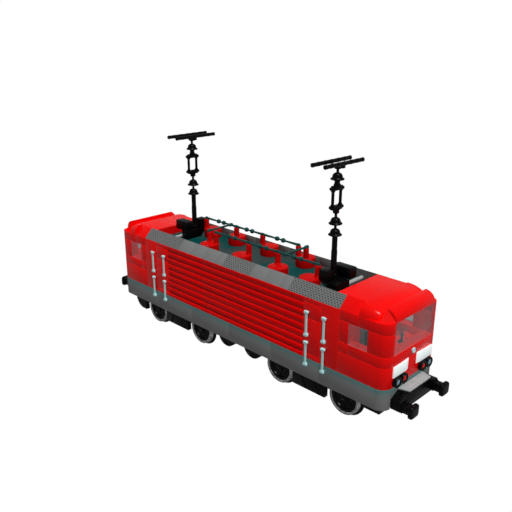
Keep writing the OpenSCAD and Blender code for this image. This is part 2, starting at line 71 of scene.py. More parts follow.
BRICK = 8.0
STUD_R = 2.4
STUD_HIGH = 1.7
WALL_LOW, WALL_HIGH = edges("side_wall_left")
HALF_W = WALL_HIGH[1]
INNER_W = WALL_LOW[1]
FOOT = WALL_LOW[2]
TOP = WALL_HIGH[2]
CAB_X = WALL_HIGH[0]
HALF_L = edges("cab_fronts")[1][0]
CORNER_X = HALF_L - BRICK
SILL = edges("cab_fronts")[1][2]
ROOF_TOP = TOP + BRICK
SLOPE = [[HALF_W, TOP], [INNER_W, ROOF_TOP], [INNER_W, TOP]]
GRILLE_X = edges("side_grille_left")[1][0]
GRILLE_BACK = edges("side_grille_left")[0][1]
PIVOT_X = (edges("bogie_sides_front")[0][0] + edges("bogie_sides_front")[1][0]) / 2
WINDOW_LOW, WINDOW_HIGH = edges("side_windows")
VENT_L = 6 * BRICK
VENT_SPANS = ((CAB_X - VENT_L, CAB_X), (-BRICK, 3 * BRICK), (-CAB_X, -CAB_X + VENT_L))
VENT_GAPS = ((3 * BRICK, CAB_X - VENT_L), (-CAB_X + VENT_L, -BRICK))


# ---------------------------------------------------------------- sizes and colours

def number(title, note, value, **limits):
    """A plain number."""
    return bpy.props.FloatProperty(name=title, description=note, default=value, **limits)


def length(title, note, value, low):
    """A size in millimetres."""
    return number(title, note + ", in millimetres", value, min=low)


def whole(title, note, value, low, high):
    """A count."""
    return bpy.props.IntProperty(name=title, description=note, default=value, min=low, max=high)


def colour(title, note, value):
    """A linear colour."""
    return bpy.props.FloatVectorProperty(
        name=title, description=note, default=value, size=3, subtype="COLOR", min=0.0, max=1.0)


class LocoSizes(bpy.types.PropertyGroup):
    """Sizes of the moulded details."""

    edge_round: length("Edge rounding", "Radius of a brick's edges", 0.3, 0.05)
    skirt_pitch: length("Skirt pitch", "Distance between the joints of the skirts", 48.0, 8.0)
    slat_high: length("Slat height", "Height of one slat of the side grilles", 3.0, 0.5)
    slat_stand: length("Slat stand", "How far a slat stands out of the grille's back", 1.0, 0.2)
    mesh_cell: length("Mesh cell", "Length of one slot cell in the roof vents", 2.6, 1.0)
    mesh_depth: length("Mesh depth", "Depth of the slots in the roof vents", 0.55, 0.1)
    rail_high: length("Rail height", "Height of one grab rail", 20.0, 5.0)
    lens_bulge: length("Lens bulge", "How far a lamp's glass bulges", 0.9, 0.1)
    slat_count: whole("Slats", "Number of slats in a side grille", 9, 2, 20)
    mesh_rows: whole("Mesh rows", "Rows of slots down a roof vent", 7, 2, 12)


class LocoColours(bpy.types.PropertyGroup):
    """Colours of the plastics, in linear light."""

    red: colour("Red", "Walls, cabs, drums and posts", (0.93, 0.0008, 0.0008))
    dark_grey: colour("Dark grey", "Skirts and roof slopes", (0.205, 0.208, 0.208))
    # The teal is painted cyan-tinted shade in place of the roof deck's own dark grey; the bus bars take
    # the same colour.
    deck: colour("Deck", "Roof deck and bus bars", (0.001, 0.062, 0.058))
    light_grey: colour("Light grey", "End steps and deck bars", (0.42, 0.43, 0.43))
    pale_grey: colour("Pale grey", "Grab rails and badges", (0.52, 0.86, 0.87))
    white: colour("White", "End panels", (0.88, 0.96, 0.94))
    black: colour("Black", "Masts, buffers and running gear", (0.0018, 0.0018, 0.002))
    ring: colour("Wheel ring", "Tread rings of the wheels", (0.34, 0.34, 0.335))
    smoke: colour("Smoke", "Tint of the window panes", (0.13, 0.19, 0.20))
    clear: colour("Clear lens", "White lamps' glass", (0.30, 0.46, 0.58))
    tail: colour("Red lens", "Red lamps' glass", (0.62, 0.01, 0.008))


class LocoStage(bpy.types.PropertyGroup):
    """Camera, floor and light."""

    azimuth: number("Azimuth", "Camera's turn round the locomotive", math.radians(45.05), subtype="ANGLE")
    elevation: number("Elevation", "Camera's height above the level", math.radians(19.3), subtype="ANGLE")
    place: bpy.props.FloatVectorProperty(
        name="Camera place", description="Camera's position, in metres", size=3, subtype="XYZ",
        default=(0.344, -0.3434, 0.2616))
    lens: number("Lens", "Focal length in millimetres", 43.6, min=10.0)
    floor: colour("Floor", "Floor under the locomotive", (0.30, 0.30, 0.30))
    white_floor: number("White floor", "How far the floor is shown as plain white", 1.0, min=0.0, max=1.0)
    ambient: number("Ambient", "Strength of the even light from all sides", 0.30, min=0.0)
    key: number("Key light", "Strength of the light from above", 2.5, min=0.0)


# ---------------------------------------------------------------- surfaces

# For an axis, the places in a point of the two coordinates across it and of the one along it.
AXES = {"x": (1, 2, 0), "y": (2, 0, 1), "z": (0, 1, 2)}


def outward(points, quads, tris):
    """The same closed surface with its faces pointing outwards: the sum over its triangles of
    a . (b x c), six times its volume, is made positive."""
    corners = np.concatenate([quads[:, [0, 1, 2]], quads[:, [0, 2, 3]], tris])
    a, b, c = (points[corners[:, k]] for k in range(3))
    if np.einsum("ij,ij->i", a - points.mean(axis=0), np.cross(b - a, c - a)).sum() < 0:
        quads, tris = quads[:, ::-1], tris[:, ::-1]
    return points, quads, tris


def ring_quads(rows, cols, loop):
    """Quads between neighbouring rings of points, and from the last to the first in a loop."""
    rings = np.arange(rows if loop else rows - 1)[:, None]
    steps = np.arange(cols)[None, :]
    after = (steps + 1) % cols
    above = (rings + 1) % rows * cols
    below = rings * cols
    corners = np.broadcast_arrays(below + steps, below + after, above + after, above + steps)
    return np.stack(corners, axis=-1).reshape(-1, 4)


def grid(x, y, z):
    """Rings of points from three arrays of coordinates that broadcast together."""
    return np.stack(np.broadcast_arrays(x, y, z), axis=-1)


def solid(rings):
    """A closed surface through rings of points, an array of rows by cols by 3: quads join each ring
    to the next, and a fan closes each end ring at its middle."""
    rows, cols = rings.shape[:2]
    points = np.concatenate([rings.reshape(-1, 3), rings[[0, -1]].mean(axis=1)])
    steps = np.arange(cols)
    after = (steps + 1) % cols
    base = (rows - 1) * cols
    low_fan = np.stack([after, steps, np.full(cols, rows * cols)], axis=-1)
    high_fan = np.stack([base + steps, base + after, np.full(cols, rows * cols + 1)], axis=-1)
    return outward(points, ring_quads(rows, cols, False), np.concatenate([low_fan, high_fan]))


def hoop(rings):
    """A closed surface through rings of points whose last ring joins the first, as on a tyre."""
    rows, cols = rings.shape[:2]
    return outward(rings.reshape(-1, 3), ring_quads(rows, cols, True), np.zeros((0, 3), int))


def flip(shape, x=1, y=1):
    """The shape reflected in x or y where that sign is -1; one alone turns the faces round."""
    points, quads, tris = shape
    if x * y < 0:
        quads, tris = quads[:, ::-1], tris[:, ::-1]
    return points * [x, y, 1], quads, tris


def both_ends(shapes):
    """The shapes at the front and, turned half round about the upright axis, at the rear."""
    return [*shapes, *(flip(s, -1, -1) for s in shapes)]


def both_sides(shapes):
    """The shapes and their reflections in the middle plane."""
    return [*shapes, *(flip(s, 1, -1) for s in shapes)]


def quarters(shapes):
    """The shapes at all four corners."""
    return both_ends(both_sides(shapes))


def lathe_rings(profile, centre, axis, segments):
    """Rings of a turned surface: a point of the profile at radius r and height h becomes the circle
    (r cos t, r sin t, h) about the axis."""
    profile = np.array(profile, float)
    turn = np.linspace(0, 2 * np.pi, segments, endpoint=False)
    u, v, w = AXES[axis]
    rings = np.empty((len(profile), segments, 3))
    rings[..., u] = profile[:, :1] * np.cos(turn)
    rings[..., v] = profile[:, :1] * np.sin(turn)
    rings[..., w] = profile[:, 1:]
    return rings + centre


def at(place, profile):
    """A profile whose heights are counted from the given place."""
    return [(radius, place + height) for radius, height in profile]


def turned(profile, centre, axis="z", segments=40):
    """A turned solid from a profile of (radius, height) pairs, closed at both ends."""
    return solid(lathe_rings(profile, centre, axis, segments))


def turned_ring(profile, centre, axis="z", segments=56):
    """A turned ring, open through its middle, from a closed profile of (radius, height) pairs."""
    return hoop(lathe_rings(profile, centre, axis, segments))


def round_rod(radius, low, high, edge):
    """Profile of a rod whose two end edges are quarter circles of the given radius."""
    turn = np.linspace(0, np.pi / 2, 5)
    foot = np.stack([radius - edge + edge * np.sin(turn), low + edge - edge * np.cos(turn)], axis=-1)
    head = np.stack([radius - edge + edge * np.cos(turn), high - edge + edge * np.sin(turn)], axis=-1)
    return np.concatenate([foot, head])


def block(low, high, edge, steps=2):
    """A box with rounded edges: its rings are rounded rectangles of corner radius e cos p at the height
    of e sin p from the corner centres, with p running from -90 to 90 degrees."""
    low, high = np.array(low, float), np.array(high, float)
    edge = min(edge, (high - low).min() / 2.2)
    core = (high - low) / 2 - edge
    quarter = np.linspace(0, np.pi / 2, steps + 1)
    turn = (quarter[None, :] + np.arange(4)[:, None] * np.pi / 2).ravel()
    sign_x = np.repeat([1, -1, -1, 1], steps + 1)
    sign_y = np.repeat([1, 1, -1, -1], steps + 1)
    rise = np.concatenate([quarter - np.pi / 2, quarter])
    lift = np.repeat([-1, 1], steps + 1)
    reach = edge * np.cos(rise)[:, None]
    rings = grid(core[0] * sign_x + reach * np.cos(turn), core[1] * sign_y + reach * np.sin(turn),
                 (core[2] * lift + edge * np.sin(rise))[:, None])
    return solid(rings + (low + high) / 2)


def softened(outline, reach, steps=3):
    """An outline with each corner c rounded by the curve (1-t)^2 a + 2t(1-t) c + t^2 b between the
    points a and b at the given reach along its two sides."""
    outline = np.array(outline, float)
    before = np.roll(outline, 1, axis=0) - outline
    beyond = np.roll(outline, -1, axis=0) - outline
    a = outline + reach * before / np.linalg.norm(before, axis=1, keepdims=True)
    b = outline + reach * beyond / np.linalg.norm(beyond, axis=1, keepdims=True)
    t = np.linspace(0, 1, steps + 1)[None, :, None]
    curve = (1 - t) ** 2 * a[:, None] + 2 * t * (1 - t) * outline[:, None] + t ** 2 * b[:, None]
    return curve.reshape(-1, 2)


def inset(outline, depth):
    """An outline moved inwards: each point goes by depth times the sum of its two sides' normals,
    divided by one plus their product."""
    side = np.roll(outline, -1, axis=0) - outline
    normal = np.stack([-side[:, 1], side[:, 0]], axis=-1) / np.linalg.norm(side, axis=1, keepdims=True)
    beyond = np.roll(outline, -1, axis=0)
    normal *= np.sign((outline[:, 0] * beyond[:, 1] - outline[:, 1] * beyond[:, 0]).sum())
    before = np.roll(normal, 1, axis=0)
    mitre = (normal + before) / (1 + (normal * before).sum(axis=1, keepdims=True))
    return outline + depth * mitre


def prism(outline, low, high, axis, edge, steps=2):
    """An outline carried along an axis, with quarter-round edges: at the height e - e sin p above
    its end the outline is moved inwards by e - e cos p."""
    outline = np.array(outline, float)
    u, v, w = AXES[axis]
    quarter = np.linspace(np.pi / 2, 0, steps + 1)
    depths = edge - edge * np.cos(quarter)
    rises = edge - edge * np.sin(quarter)
    heights = np.concatenate([low + rises, (high - rises)[::-1]])
    insets = np.concatenate([depths, depths[::-1]])
    rings = np.empty((len(heights), len(outline), 3))
    for ring, depth, height in zip(rings, insets, heights):
        ring[:, [u, v]] = inset(outline, depth)
        ring[:, w] = height
    return solid(rings)


def sector(centre, radii, start, count):
    """A quarter of an ellipse: its centre, then points from the start angle to 90 degrees."""
    turn = np.radians(np.linspace(start, 90, count))[:, None]
    return np.concatenate([[centre], centre + radii * np.hstack([np.cos(turn), np.sin(turn)])])


ENDS = ("front", "rear")
SIDES = ("left", "right")
SMOOTH = 34.0


def piece(name, shapes, finish, replaces=(), body="body", smooth=SMOOTH):
    """One mesh object made of closed shapes, riding on a body and standing for the CAD nodes named."""
    starts = np.cumsum([0] + [len(s[0]) for s in shapes])
    faces = []
    for start, (_, quads, tris) in zip(starts, shapes):
        faces += (quads + start).tolist() + (tris + start).tolist()
    mesh = bpy.data.meshes.new(name)
    mesh.from_pydata((np.concatenate([s[0] for s in shapes]) * MM).tolist(), [], faces)
    mesh.polygons.foreach_set("use_smooth", np.ones(len(mesh.polygons), bool))
    mesh.set_sharp_from_angle(angle=math.radians(smooth))
    mesh.materials.append(FINISHES[finish])
    mesh.validate()
    made = bpy.data.objects.new(name, mesh)
    bpy.context.scene.collection.objects.link(made)
    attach(made, body)
    if replaces:
        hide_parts(*replaces)


def twins(words, name, shapes, finish, node, body="body", smooth=SMOOTH):
    """Two pieces, the second turned half round; {} in a name stands for the piece's word."""
    for word, sign in zip(words, (1, -1)):
        piece(name.format(word), [flip(s, sign, sign) for s in shapes], finish, [node.format(word)],
              body.format(word), smooth)


# ---------------------------------------------------------------- finishes

class Link:
    """A shader socket that sums can be written with; each sum adds its Math node."""

    def __init__(self, finish, socket):
        self.finish = finish
        self.socket = socket

    def math(self, operation, left, right):
        return self.finish.add("ShaderNodeMath", {"operation": operation}, {0: left, 1: right})

    def __add__(self, other):
        return self.math("ADD", self, other)

    def __sub__(self, other):
        return self.math("SUBTRACT", self, other)

    def __rsub__(self, other):
        return self.math("SUBTRACT", other, self)

    def __mul__(self, other):
        return self.math("MULTIPLY", self, other)

    __radd__ = __add__
    __rmul__ = __mul__


class Finish:
    """One procedural material on Object coordinates, with a Principled shader at its end."""

    def __init__(self, name, **fixed):
        self.material = bpy.data.materials.new(name)
        self.material.use_nodes = True
        self.tree = self.material.node_tree
        self.tree.nodes.clear()
        self.shader = self.tree.nodes.new("ShaderNodeBsdfPrincipled")
        end = self.tree.nodes.new("ShaderNodeOutputMaterial")
        self.tree.links.new(self.shader.outputs[0], end.inputs[0])
        self.place = self.add("ShaderNodeTexCoord", output="Object")
        for socket, value in fixed.items():
            self.shader.inputs[socket.replace("_", " ")].default_value = value

    def add(self, kind, settings=None, sockets=None, output=0):
        """Adds a node: its settings first, then the values or links of its sockets."""
        node = self.tree.nodes.new(kind)
        for key, value in (settings or {}).items():
            setattr(node, key, value)
        for key, value in (sockets or {}).items():
            self.feed(node.inputs[key], value)
        return Link(self, node.outputs[output])

    def feed(self, socket, value):
        """Links a socket to a Link, or sets its number or colour."""
        if isinstance(value, Link):
            self.tree.links.new(value.socket, socket)
        else:
            socket.default_value = value

    def surface(self, **sockets):
        """Feeds the shader's own sockets."""
        for key, value in sockets.items():
            self.feed(self.shader.inputs[key.replace("_", " ")], value)

    def noise(self, scale, detail=3.0, stretch=(1, 1, 1)):
        """Noise with the given number of features a metre, squeezed along each axis by stretch."""
        spread = self.add("ShaderNodeMapping", None, {0: self.place, 3: stretch})
        return self.add("ShaderNodeTexNoise", None, {"Vector": spread, "Scale": scale, "Detail": detail})

    def along(self, axis):
        """The Object coordinate along one axis, in metres."""
        return self.add("ShaderNodeSeparateXYZ", None, {0: self.place}, axis.upper())

    def fade(self, value, low, high, start=0.0, end=1.0):
        """Runs smoothly from start to end as the value goes from low to high."""
        return self.add("ShaderNodeMapRange", {"interpolation_type": "SMOOTHSTEP"},
                        {0: value, 1: low, 2: high, 3: start, 4: end})

    def mix(self, first, second, share):
        """Blends two colours."""
        return self.add("ShaderNodeMix", {"data_type": "RGBA"}, {0: share, 6: first, 7: second}, 2)

    def over(self, tone, share):
        """Lays a colour over the Base Color made so far."""
        before = Link(self, self.shader.inputs["Base Color"].links[0].from_socket)
        self.surface(Base_Color=self.mix(before, tone, share))

    def bump(self, height, distance, strength=1.0):
        """A surface normal from a height that spans the given distance in metres."""
        return self.add("ShaderNodeBump", None,
                        {"Height": height, "Distance": distance, "Strength": strength})


def shade(tone, factor, lift=0.0):
    """An opaque colour scaled by a factor and lifted towards white."""
    return tuple(min(1.0, part * factor + lift) for part in tone) + (1.0,)


def plastic(name, tone, rough=0.33, specular=0.3, grime=0.35):
    """Moulded plastic: slow tint changes from brick to brick, flow marks that follow the mould, short
    level scuffs that lift colour and dull the gloss, dust in random patches, and a faint orange peel."""
    finish = Finish(name, Specular_IOR_Level=specular, IOR=1.46)
    tint = finish.noise(34.0, 2.0)
    flow = finish.noise(150.0, 4.0, (0.3, 1.0, 1.0))
    scuff = finish.fade(finish.noise(520.0, 5.0, (0.12, 1.0, 1.0)), 0.63, 0.74)
    dust = finish.fade(finish.noise(900.0, 3.0), 0.50, 0.72)
    peel = finish.noise(2600.0, 2.0)
    colour_now = finish.mix(shade(tone, 0.90), shade(tone, 1.05, 0.001), tint)
    colour_now = finish.mix(colour_now, shade(tone, 0.72), dust * grime * 0.5)
    colour_now = finish.mix(colour_now, shade(tone, 1.10, 0.012), scuff * 0.35)
    finish.surface(Base_Color=colour_now,
                   Roughness=rough - 0.06 + 0.10 * flow + 0.16 * scuff + 0.08 * dust,
                   Normal=finish.bump(peel * 0.5 + flow * 0.4 - scuff * 0.3, 0.00006, 0.7))
    return finish


def red_finish(tones):
    """Bright red plastic."""
    return plastic("red_plastic", tones.red, 0.26, 0.16, 0.12).material


def grille_finish(tones):
    """Red plastic with painted shade in the recesses between the slats: a point is in a recess where its
    distance from the middle plane is less than the slats' face, and there a dark brownish red is laid
    over it."""
    finish = plastic("red_grille_plastic", tones.red, 0.45, 0.05, 0.12)
    face = finish.add("ShaderNodeMath", {"operation": "ABSOLUTE"}, {0: finish.along("y")})
    deep = 1 - finish.fade(face, (HALF_W - 0.9) * MM, (HALF_W - 0.35) * MM)
    # painted shade: the recess floor is darkened to a brownish red
    finish.over((0.30, 0.010, 0.010, 1), deep * 0.85)
    return finish.material


def skirt_finish(tones):
    """Dark grey plastic that turns blue-green towards the top edge of the skirts."""
    finish = plastic("skirt_plastic", tones.dark_grey, 0.42, 0.15, 0.4)
    high = finish.fade(finish.along("z"), (FOOT - 9) * MM, FOOT * MM)
    finish.over(shade(tones.deck, 3.2), high * high * 0.6)
    return finish.material


def deck_finish(tones):
    """Painted cyan-tinted shade: a teal base colour, with broad grey patches of the deck's own dark grey.
    """
    # painted shade: the teal base colour stands for cyan-tinted shade on the deck
    finish = plastic("deck_plastic", tones.deck, 0.5, 0.08, 0.4)
    patch = finish.fade(finish.noise(38.0, 1.5), 0.44, 0.60)
    finish.over((0.045, 0.054, 0.054, 1), patch * 0.7)
    return finish.material


def white_finish(tones):
    """White plastic with a painted glow: a little emission of its own colour makes it brighter than its
    light alone would.
    """
    finish = plastic("white_plastic", tones.white, 0.32, 0.3, 0.05)
    before = finish.shader.inputs["Base Color"].links[0].from_socket
    # painted glow: the base colour is also given out as light, at a strength of 0.30
    finish.surface(Emission_Color=Link(finish, before))
    finish.shader.inputs["Emission Strength"].default_value = 0.30
    return finish.material


def vent_finish(tones):
    """Dark grey plastic with the floor of its slots in shade: the depth under the 45 degree face
    is (half width + wall top - |y| - z) over root two."""
    finish = plastic("mesh_grey_plastic", shade(tones.dark_grey, 0.92)[:3], 0.5, 0.15, 0.4)
    side = finish.add("ShaderNodeMath", {"operation": "ABSOLUTE"}, {0: finish.along("y")})
    depth = (HALF_W + TOP) * MM - side - finish.along("z")
    outside = finish.fade(side, (INNER_W + 0.1) * MM, (INNER_W + 0.3) * MM)
    deep = finish.fade(depth, 0.25 * MM, 0.6 * MM) * outside
    finish.over((0.030, 0.036, 0.038, 1), deep * 0.8)
    return finish.material


def ring_finish(tones):
    """Worn grey ring: fine turning marks round the axle, bright rubbed spots and dark grime."""
    finish = Finish("wheel_ring", Specular_IOR_Level=0.4)
    worn = finish.fade(finish.noise(700.0, 4.0), 0.48, 0.66)
    grime = finish.fade(finish.noise(260.0, 5.0), 0.50, 0.68)
    marks = finish.noise(4200.0, 2.0, (1.0, 0.1, 1.0))
    colour_now = finish.mix(shade(tones.ring, 0.75), shade(tones.ring, 1.9), worn * 0.8)
    colour_now = finish.mix(colour_now, (0.03, 0.028, 0.026, 1), grime * 0.5)
    finish.surface(Base_Color=colour_now, Roughness=0.38 + 0.2 * grime + 0.1 * marks,
                   Normal=finish.bump(marks, 0.00005, 0.6))
    return finish.material


def pane_finish(name, tone, clear_alpha, rough=0.06):
    """Clear tinted plastic: see-through, with a faint haze of smears that makes it a little denser."""
    finish = Finish(name, Specular_IOR_Level=0.25, IOR=1.5)
    smear = finish.fade(finish.noise(60.0, 5.0, (0.4, 1.0, 2.2)), 0.42, 0.72)
    speck = finish.fade(finish.noise(1500.0, 2.0), 0.66, 0.74)
    finish.surface(Base_Color=finish.mix(shade(tone, 1.0), shade(tone, 1.25, 0.01), smear),
                   Roughness=rough + 0.10 * smear + 0.2 * speck,
                   Alpha=clear_alpha + 0.07 * smear + 0.06 * speck,
                   Normal=finish.bump(smear, 0.00002, 0.3))
    return finish.material


FINISHES = {}


def make_finishes(tones):
    """Every finish of the locomotive, by name."""
    FINISHES.update(
        red=red_finish(tones),
        drum=plastic("drum_plastic", shade(tones.red, 0.62)[:3], 0.45, 0.08, 0.12).material,
        grille=grille_finish(tones),
        skirt=skirt_finish(tones),
        vent=vent_finish(tones),
        dark_grey=plastic("dark_grey_plastic", tones.dark_grey, 0.42, 0.15).material,
        deck=deck_finish(tones),
        bars=plastic("bus_bar_plastic", tones.deck, 0.4, 0.35).material,
        light_grey=plastic("light_grey_plastic", tones.light_grey, 0.4, 0.3).material,
        pale_grey=plastic("pale_grey_plastic", tones.pale_grey, 0.38, 0.3, 0.2).material,
        white=white_finish(tones),
        black=plastic("black_plastic", tones.black, 0.30, 0.12, 0.2).material,
        seat=plastic("seat_plastic", shade(tones.black, 2.5)[:3], 0.6, 0.25).material,
        ring=ring_finish(tones),
        smoke=pane_finish("smoke_panes", tones.smoke, 0.36),
        clear=pane_finish("clear_lenses", tones.clear, 0.72, 0.03),
        tail=pane_finish("red_lenses", tones.tail, 0.90, 0.04),
    )


# ---------------------------------------------------------------- operators

class LocoOperator:
    """What every operator here shares."""

    bl_options = {"REGISTER", "UNDO"}

    @property
    def sizes(self):
        return bpy.context.scene.loco_sizes


def wall_blocks(spans, y0, y1, edge):
    """Bricks of a side wall from (x0, x1, z0, z1) spans, with z counted from the wall's foot."""
    return [block((x0, y0, FOOT + z0), (x1, y1, FOOT + z1), edge) for x0, x1, z0, z1 in spans]


class LOCO_OT_body_bricks(LocoOperator, bpy.types.Operator):
    """Side walls as bricks: a core behind the grille, and door bricks with a lintel and a threshold."""

    bl_idname = "loco.body_bricks"
    bl_label = "Side Wall Bricks"

    def execute(self, context):
        edge = self.sizes.edge_round
        door_x = CAB_X - 2 * BRICK
        lintel = 5.5 * BRICK
        spans = []
        for side in (-1, 1):
            near, mid, far = sorted((side * GRILLE_X, side * door_x, side * CAB_X), key=abs)
            inner, outer = sorted((near, mid)), sorted((mid, far))
            levels = (0, BRICK / 2, 4 * BRICK, lintel, TOP - FOOT)
            spans += [(*inner, z0, z1) for z0, z1 in zip(levels, levels[1:])]
            spans.append((*outer, 0, TOP - FOOT))
        shapes = wall_blocks(spans, INNER_W, HALF_W, edge)
        shapes.append(block((-GRILLE_X, INNER_W, FOOT), (GRILLE_X, GRILLE_BACK, TOP), edge))
        twins(SIDES, "wall_bricks_{}", shapes, "red", "side_wall_{}")
        return {"FINISHED"}


class LOCO_OT_grilles(LocoOperator, bpy.types.Operator):
    """Side grilles: three courses of backing with rounded slats, which are split at the bricks' ends."""

    bl_idname = "loco.grilles"
    bl_label = "Side Grilles"

    def execute(self, context):
        sizes = self.sizes
        face = HALF_W - sizes.slat_stand
        high = TOP - FOOT
        pitch = (high - sizes.slat_high) / (sizes.slat_count - 1)
        shapes = []
        for course in range(3):
            z0 = FOOT + course * 2 * BRICK
            shapes.append(block((-GRILLE_X, GRILLE_BACK, z0), (GRILLE_X, face, z0 + 2 * BRICK), 0.25))
        for k in range(sizes.slat_count):
            z0 = FOOT + k * pitch
            split = 2 * BRICK if k == 6 else 4 * BRICK
            for x0, x1 in ((-GRILLE_X, split), (split, GRILLE_X)):
                shapes.append(block((x0, face - 0.4, z0), (x1, HALF_W, z0 + sizes.slat_high), 0.22))
        twins(SIDES, "grille_slats_{}", shapes, "grille", "side_grille_{}")
        return {"FINISHED"}


class LOCO_OT_cab_bricks(LocoOperator, bpy.types.Operator):
    """Cab sides laid as bricks round the side windows, quarter-round corner bricks and the end walls."""

    bl_idname = "loco.cab_bricks"
    bl_label = "Cab Bricks"

    def execute(self, context):
        edge = self.sizes.edge_round
        x0, x1 = WINDOW_HIGH[0] - 2 * BRICK, WINDOW_HIGH[0]
        mid = (x0 + x1) / 2
        sill, head = WINDOW_LOW[2] - FOOT, WINDOW_HIGH[2] - FOOT
        low, high = 2 * BRICK, TOP - FOOT
        spans = [(CAB_X, CORNER_X, 0, low), (CAB_X, x0, low, sill), (x0, CORNER_X, low, sill),
                 (CAB_X, x0, sill, head), (x1, CORNER_X, sill, head),
                 (CAB_X, mid, head, high), (mid, CORNER_X, head, high)]
        side = wall_blocks(spans, INNER_W, HALF_W, edge)
        for name, sign in (("left", 1), ("right", -1)):
            shapes = [flip(s, end, sign) for s in side for end in (1, -1)]
            piece(f"cab_side_bricks_{name}", shapes, "red", [f"cab_sides_{name}"])
        quarter = sector((CORNER_X, INNER_W), (BRICK, BRICK), 0, 13)
        levels = np.array([0, low, 3 * BRICK, head, high]) + FOOT
        columns = [prism(quarter, z0, z1, "z", edge * 0.8) for z0, z1 in zip(levels, levels[1:])]
        piece("cab_corner_bricks", quarters(columns), "red", ["cab_corner_columns"])
        fronts = [block((CORNER_X, -INNER_W, z0), (HALF_L, INNER_W, z1), edge)
                  for z0, z1 in ((FOOT, FOOT + low), (FOOT + low, SILL))]
        piece("cab_front_bricks", both_ends(fronts), "red", ["cab_fronts"])
        return {"FINISHED"}


def wedge(points, quads, tris):
    """A small flat-faced solid from its corners and faces."""
    return outward(np.array(points, float), np.array(quads), np.array(tris).reshape(-1, 3))


class LOCO_OT_cab_roofs(LocoOperator, bpy.types.Operator):
    """Cab roofs: a middle with a flat, an elliptical front curve and a brow, side slopes, rounded
    caps, quarters of an ellipsoid, in front of them, and facets at the corners."""

    bl_idname = "loco.cab_roofs"
    bl_label = "Cab Roofs"

    def execute(self, context):
        edge = self.sizes.edge_round
        back = edges("cab_roof_front")[0][0]
        curve_x = CORNER_X - 2 * BRICK
        flat_end = [[curve_x, TOP], [back, TOP], [back, ROOF_TOP], [curve_x, ROOF_TOP]]
        front_curve = sector((curve_x, TOP), (2 * BRICK, BRICK), 1, 22)
        brow = sector((CORNER_X, TOP), (BRICK, BRICK), 0, 14)
        middle = [prism(np.array(outline)[:, ::-1], -INNER_W, INNER_W, "y", edge * 0.7)
                  for outline in (flat_end, front_curve, brow)]
        slope = prism(softened(SLOPE, 0.2, 2), CAB_X, curve_x, "x", 0.2)
        facet = wedge([[CORNER_X, INNER_W, TOP], [CORNER_X, HALF_W, TOP], [HALF_L, INNER_W, TOP],
                       [CORNER_X, INNER_W, ROOF_TOP]], np.empty((0, 4), int),
                      [[0, 2, 1], [0, 1, 3], [1, 2, 3], [0, 3, 2]])
        shapes = middle + both_sides([slope, facet, self.cap(curve_x)])
        twins(ENDS, "cab_roof_bricks_{}", shapes, "red", "cab_roof_{}")
        return {"FINISHED"}

    def cap(self, start_x):
        """A quarter ellipsoid: the ring at x = L sin p has radii R cos p and H cos p."""
        long, wide, high = 2 * BRICK, BRICK, BRICK - 0.1
        rise = np.linspace(0, np.pi / 2 * 0.985, 16)[:, None]
        turn = np.linspace(0, np.pi / 2, 14)[None, :]
        rings = np.empty((rise.size, turn.size + 1, 3))
        rings[..., 0] = start_x + long * np.sin(rise)
        rings[:, :-1, 1] = INNER_W + wide * np.cos(rise) * np.cos(turn)
        rings[:, :-1, 2] = TOP + high * np.cos(rise) * np.sin(turn)
        rings[:, -1, 1:] = (INNER_W - 0.2, TOP)
        return solid(rings)


class LOCO_OT_roof_slopes(LocoOperator, bpy.types.Operator):
    """Smooth 45 degree roof bricks between the vents."""

    bl_idname = "loco.roof_slopes"
    bl_label = "Roof Slopes"

    def execute(self, context):
        outline = softened(SLOPE, 0.25, 2)
        shapes = []
        for start, end in VENT_GAPS:
            stops = np.arange(start, end, 2 * BRICK)
            for x0, x1 in zip(stops, np.append(stops[1:], end)):
                shapes.append(prism(outline, x0, x1, "x", 0.2))
        shapes = both_ends([flip(s, 1, -1) for s in shapes])
        piece("roof_slope_bricks", shapes, "dark_grey", ["roof_slopes"])
        return {"FINISHED"}


def vent_brick(x0, x1, cell, rows, depth):
    """A right-hand roof brick of triangular section whose slope is a field of slots. A point at x along
    the brick and v down the slope is lowered by the depth where both its place in the cell and its
    place in the row lie in the slot; every other row is shifted by half a cell."""
    bars = np.array([0.21, 0.28])
    count = max(1, round((x1 - x0) / cell))
    along = (np.arange(count)[:, None] + np.concatenate([bars, bars + 0.5])[None, :]).ravel() / count
    along = np.concatenate([[0], along, [1]])
    down = (np.arange(rows)[:, None] + np.array([0.24, 0.32, 0.68, 0.76])[None, :]).ravel() / rows
    down = np.concatenate([[0], down, [1]])
    row = np.minimum((down * rows).astype(int), rows - 1)
    in_row = np.abs(down * rows - row - 0.5) < 0.2
    phase = (along[:, None] * count + 0.5 * (row % 2)[None, :]) % 1.0
    within = ((along > 0) & (along < 1))[:, None]
    slot = in_row[None, :] & (phase > 0.25) & (phase < 0.75) & within
    sink = depth * slot / math.sqrt(2)
    rings = np.empty((len(along), len(down) + 1, 3))
    rings[..., 0] = (x0 + (x1 - x0) * along)[:, None]
    rings[:, :-1, 1] = -(HALF_W - BRICK * (1 - down))[None, :] + sink
    rings[:, :-1, 2] = (TOP + BRICK * (1 - down))[None, :] - sink
    rings[:, -1, 1:] = (-INNER_W, TOP)
    return solid(rings)


class LOCO_OT_roof_vents(LocoOperator, bpy.types.Operator):
    """Slotted roof bricks over the air vents, laid in pieces two bricks long."""

    bl_idname = "loco.roof_vents"
    bl_label = "Roof Vents"

    def execute(self, context):
        sizes = self.sizes
        shapes = []
        for start, end in VENT_SPANS:
            stops = np.arange(start, end + 1, 2 * BRICK)
            for x0, x1 in zip(stops, stops[1:]):
                shapes.append(vent_brick(x0 + 0.1, x1 - 0.1, sizes.mesh_cell, sizes.mesh_rows,
                                         sizes.mesh_depth))
        piece("roof_vent_bricks", both_ends(shapes), "vent", ["roof_vents"], smooth=25.0)
        return {"FINISHED"}


